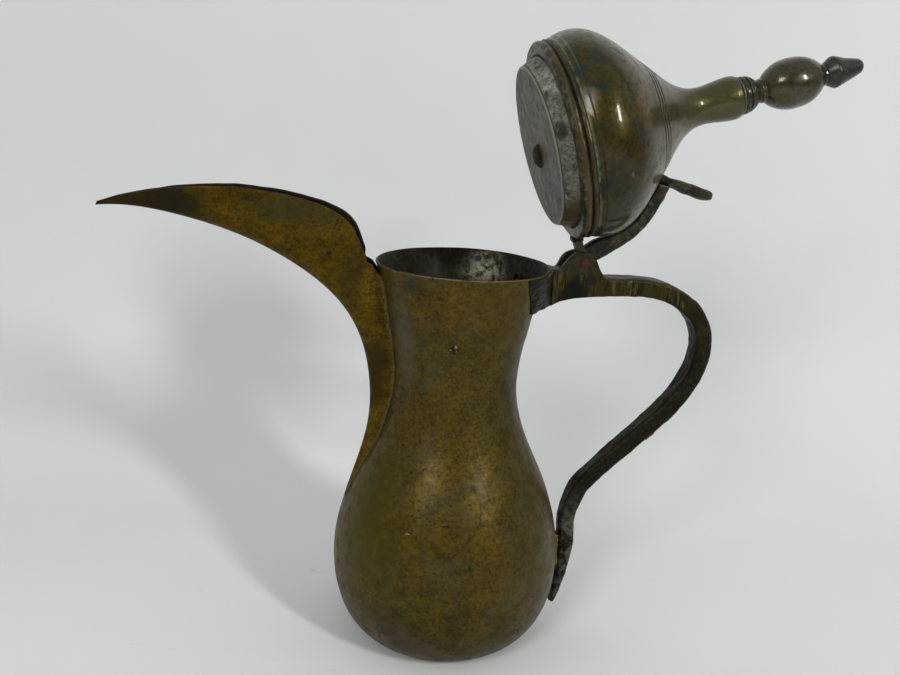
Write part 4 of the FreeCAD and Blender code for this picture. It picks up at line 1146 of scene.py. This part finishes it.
def stage_sheet(name, mesh, one_sided=False):
    """A pale sheet. One-sided, it is seen through from its back, so that it hides nothing there."""
    sheet = linked(name, mesh)
    sheet.matrix_world = Matrix.Rotation(-HEADING, 4, "Z")
    s = Shade(name)
    s.colour = s.mix(s.ramp(s.noise(0.25, 3.0), 0.3, 0.7), (0.8, 0.8, 0.79), (0.77, 0.78, 0.78))
    scuffs = s.ramp(s.noise(0.012, 4.0, 0.6, 2.0, 71.0, (0.35, 1, 1)), 0.68, 0.76, 0.0, 0.18)
    s.lay((0.5, 0.48, 0.44), scuffs, s.ramp(s.axis("Z"), 0.02, 0.002))
    mesh.materials.append(s.finish(None, specular=0.1))
    if one_sided:
        surface = s.out.inputs["Surface"]
        made = s.node("ShaderNodeMixShader", {0: s.node("ShaderNodeNewGeometry").outputs["Backfacing"],
                                              1: surface.links[0].from_socket,
                                              2: s.node("ShaderNodeBsdfTransparent").outputs["BSDF"]})
        s.feed(surface, made.outputs["Shader"])
    return sheet


def wide(name, line):
    """A mesh as wide as the stage along places (y, z)."""
    return grid(name, np.array([[(x, y, z) for x in (-SIDE, SIDE)] for y, z in line]), around=False)


def stage():
    """A sheet that curves up close behind the pot and is seen only from its front, the floor going on
    behind it, and a round wall further off that gives the other views a pale ground and casts no light."""
    stage_sheet("backdrop", wide("backdrop", np.concatenate([[(-SIDE, 0.0)], swept(BEND_START, BEND, TOP)])), True)
    stage_sheet("floor_behind", wide("floor_behind", [(BEND_START, -0.0005), (SIDE, -0.0005)]))
    wall = stage_sheet("far_wall", grid("far_wall", spun(swept(FAR_START, FAR_BEND, FAR_TOP) + [0, 0.0005], 128)))
    wall.visible_diffuse = wall.visible_glossy = wall.visible_transmission = wall.visible_shadow = False


LAMP_TARGET = (0, 0, 0.15)
# name, place, size, power, colour
LAMPS = [("left", (-0.78, -1.2, 0.98), (0.42, 0.46), 8.0, (1.0, 0.99, 0.97)),
         ("right", (0.84, -1.2, 0.98), (0.12, 0.4), 11.5, (1.0, 0.99, 0.98))]


def area_light(name, place, size, power, colour):
    data = bpy.data.lights.new(name, "AREA")
    data.shape, data.size, data.size_y = "RECTANGLE", size[0], size[1]
    data.energy, data.color = power, colour
    light = linked(name, data)
    light.location = place
    light.rotation_mode = "QUATERNION"
    light.rotation_quaternion = (Vector(LAMP_TARGET) - Vector(place)).to_track_quat("-Z", "Y")


def make_light():
    """A pale room, brighter above and to the sides than in front, and two soft lamps."""
    world = bpy.data.worlds.new("world")
    bpy.context.scene.world = world
    world.use_nodes = True
    n = Nodes(world.node_tree)
    x, y, z = n.node("ShaderNodeSeparateXYZ", {0: n.node("ShaderNodeTexCoord").outputs["Generated"]}).outputs
    above, beside = n.ramp(z, -0.05, 0.75, 0.078, 0.56), n.ramp(n.math("ABSOLUTE", x), 0.5, 0.98, 0.0, 0.235)
    back = n.tree.nodes["Background"].inputs
    n.feed(back["Color"], (0.94, 0.97, 1.0))
    n.feed(back["Strength"], n.both(n.plus(above, beside), n.ramp(y, -0.95, -0.1, 0.3, 1.0)))
    for lamp in LAMPS:
        area_light(*lamp)


make_camera()
pot_body()
spout()
seam_solder()
lid_pieces()
cast_pieces(CASTINGS)
disc_fin()
cast_pieces(SMALL_CASTINGS)
for node, look in (("base_plate", body_brass), ("block_rivet", saddle_brass), ("finial_rod", finial_brass)):
    assign(node, look)
stage()
make_light()
bpy.context.scene.view_settings.view_transform = "Standard"
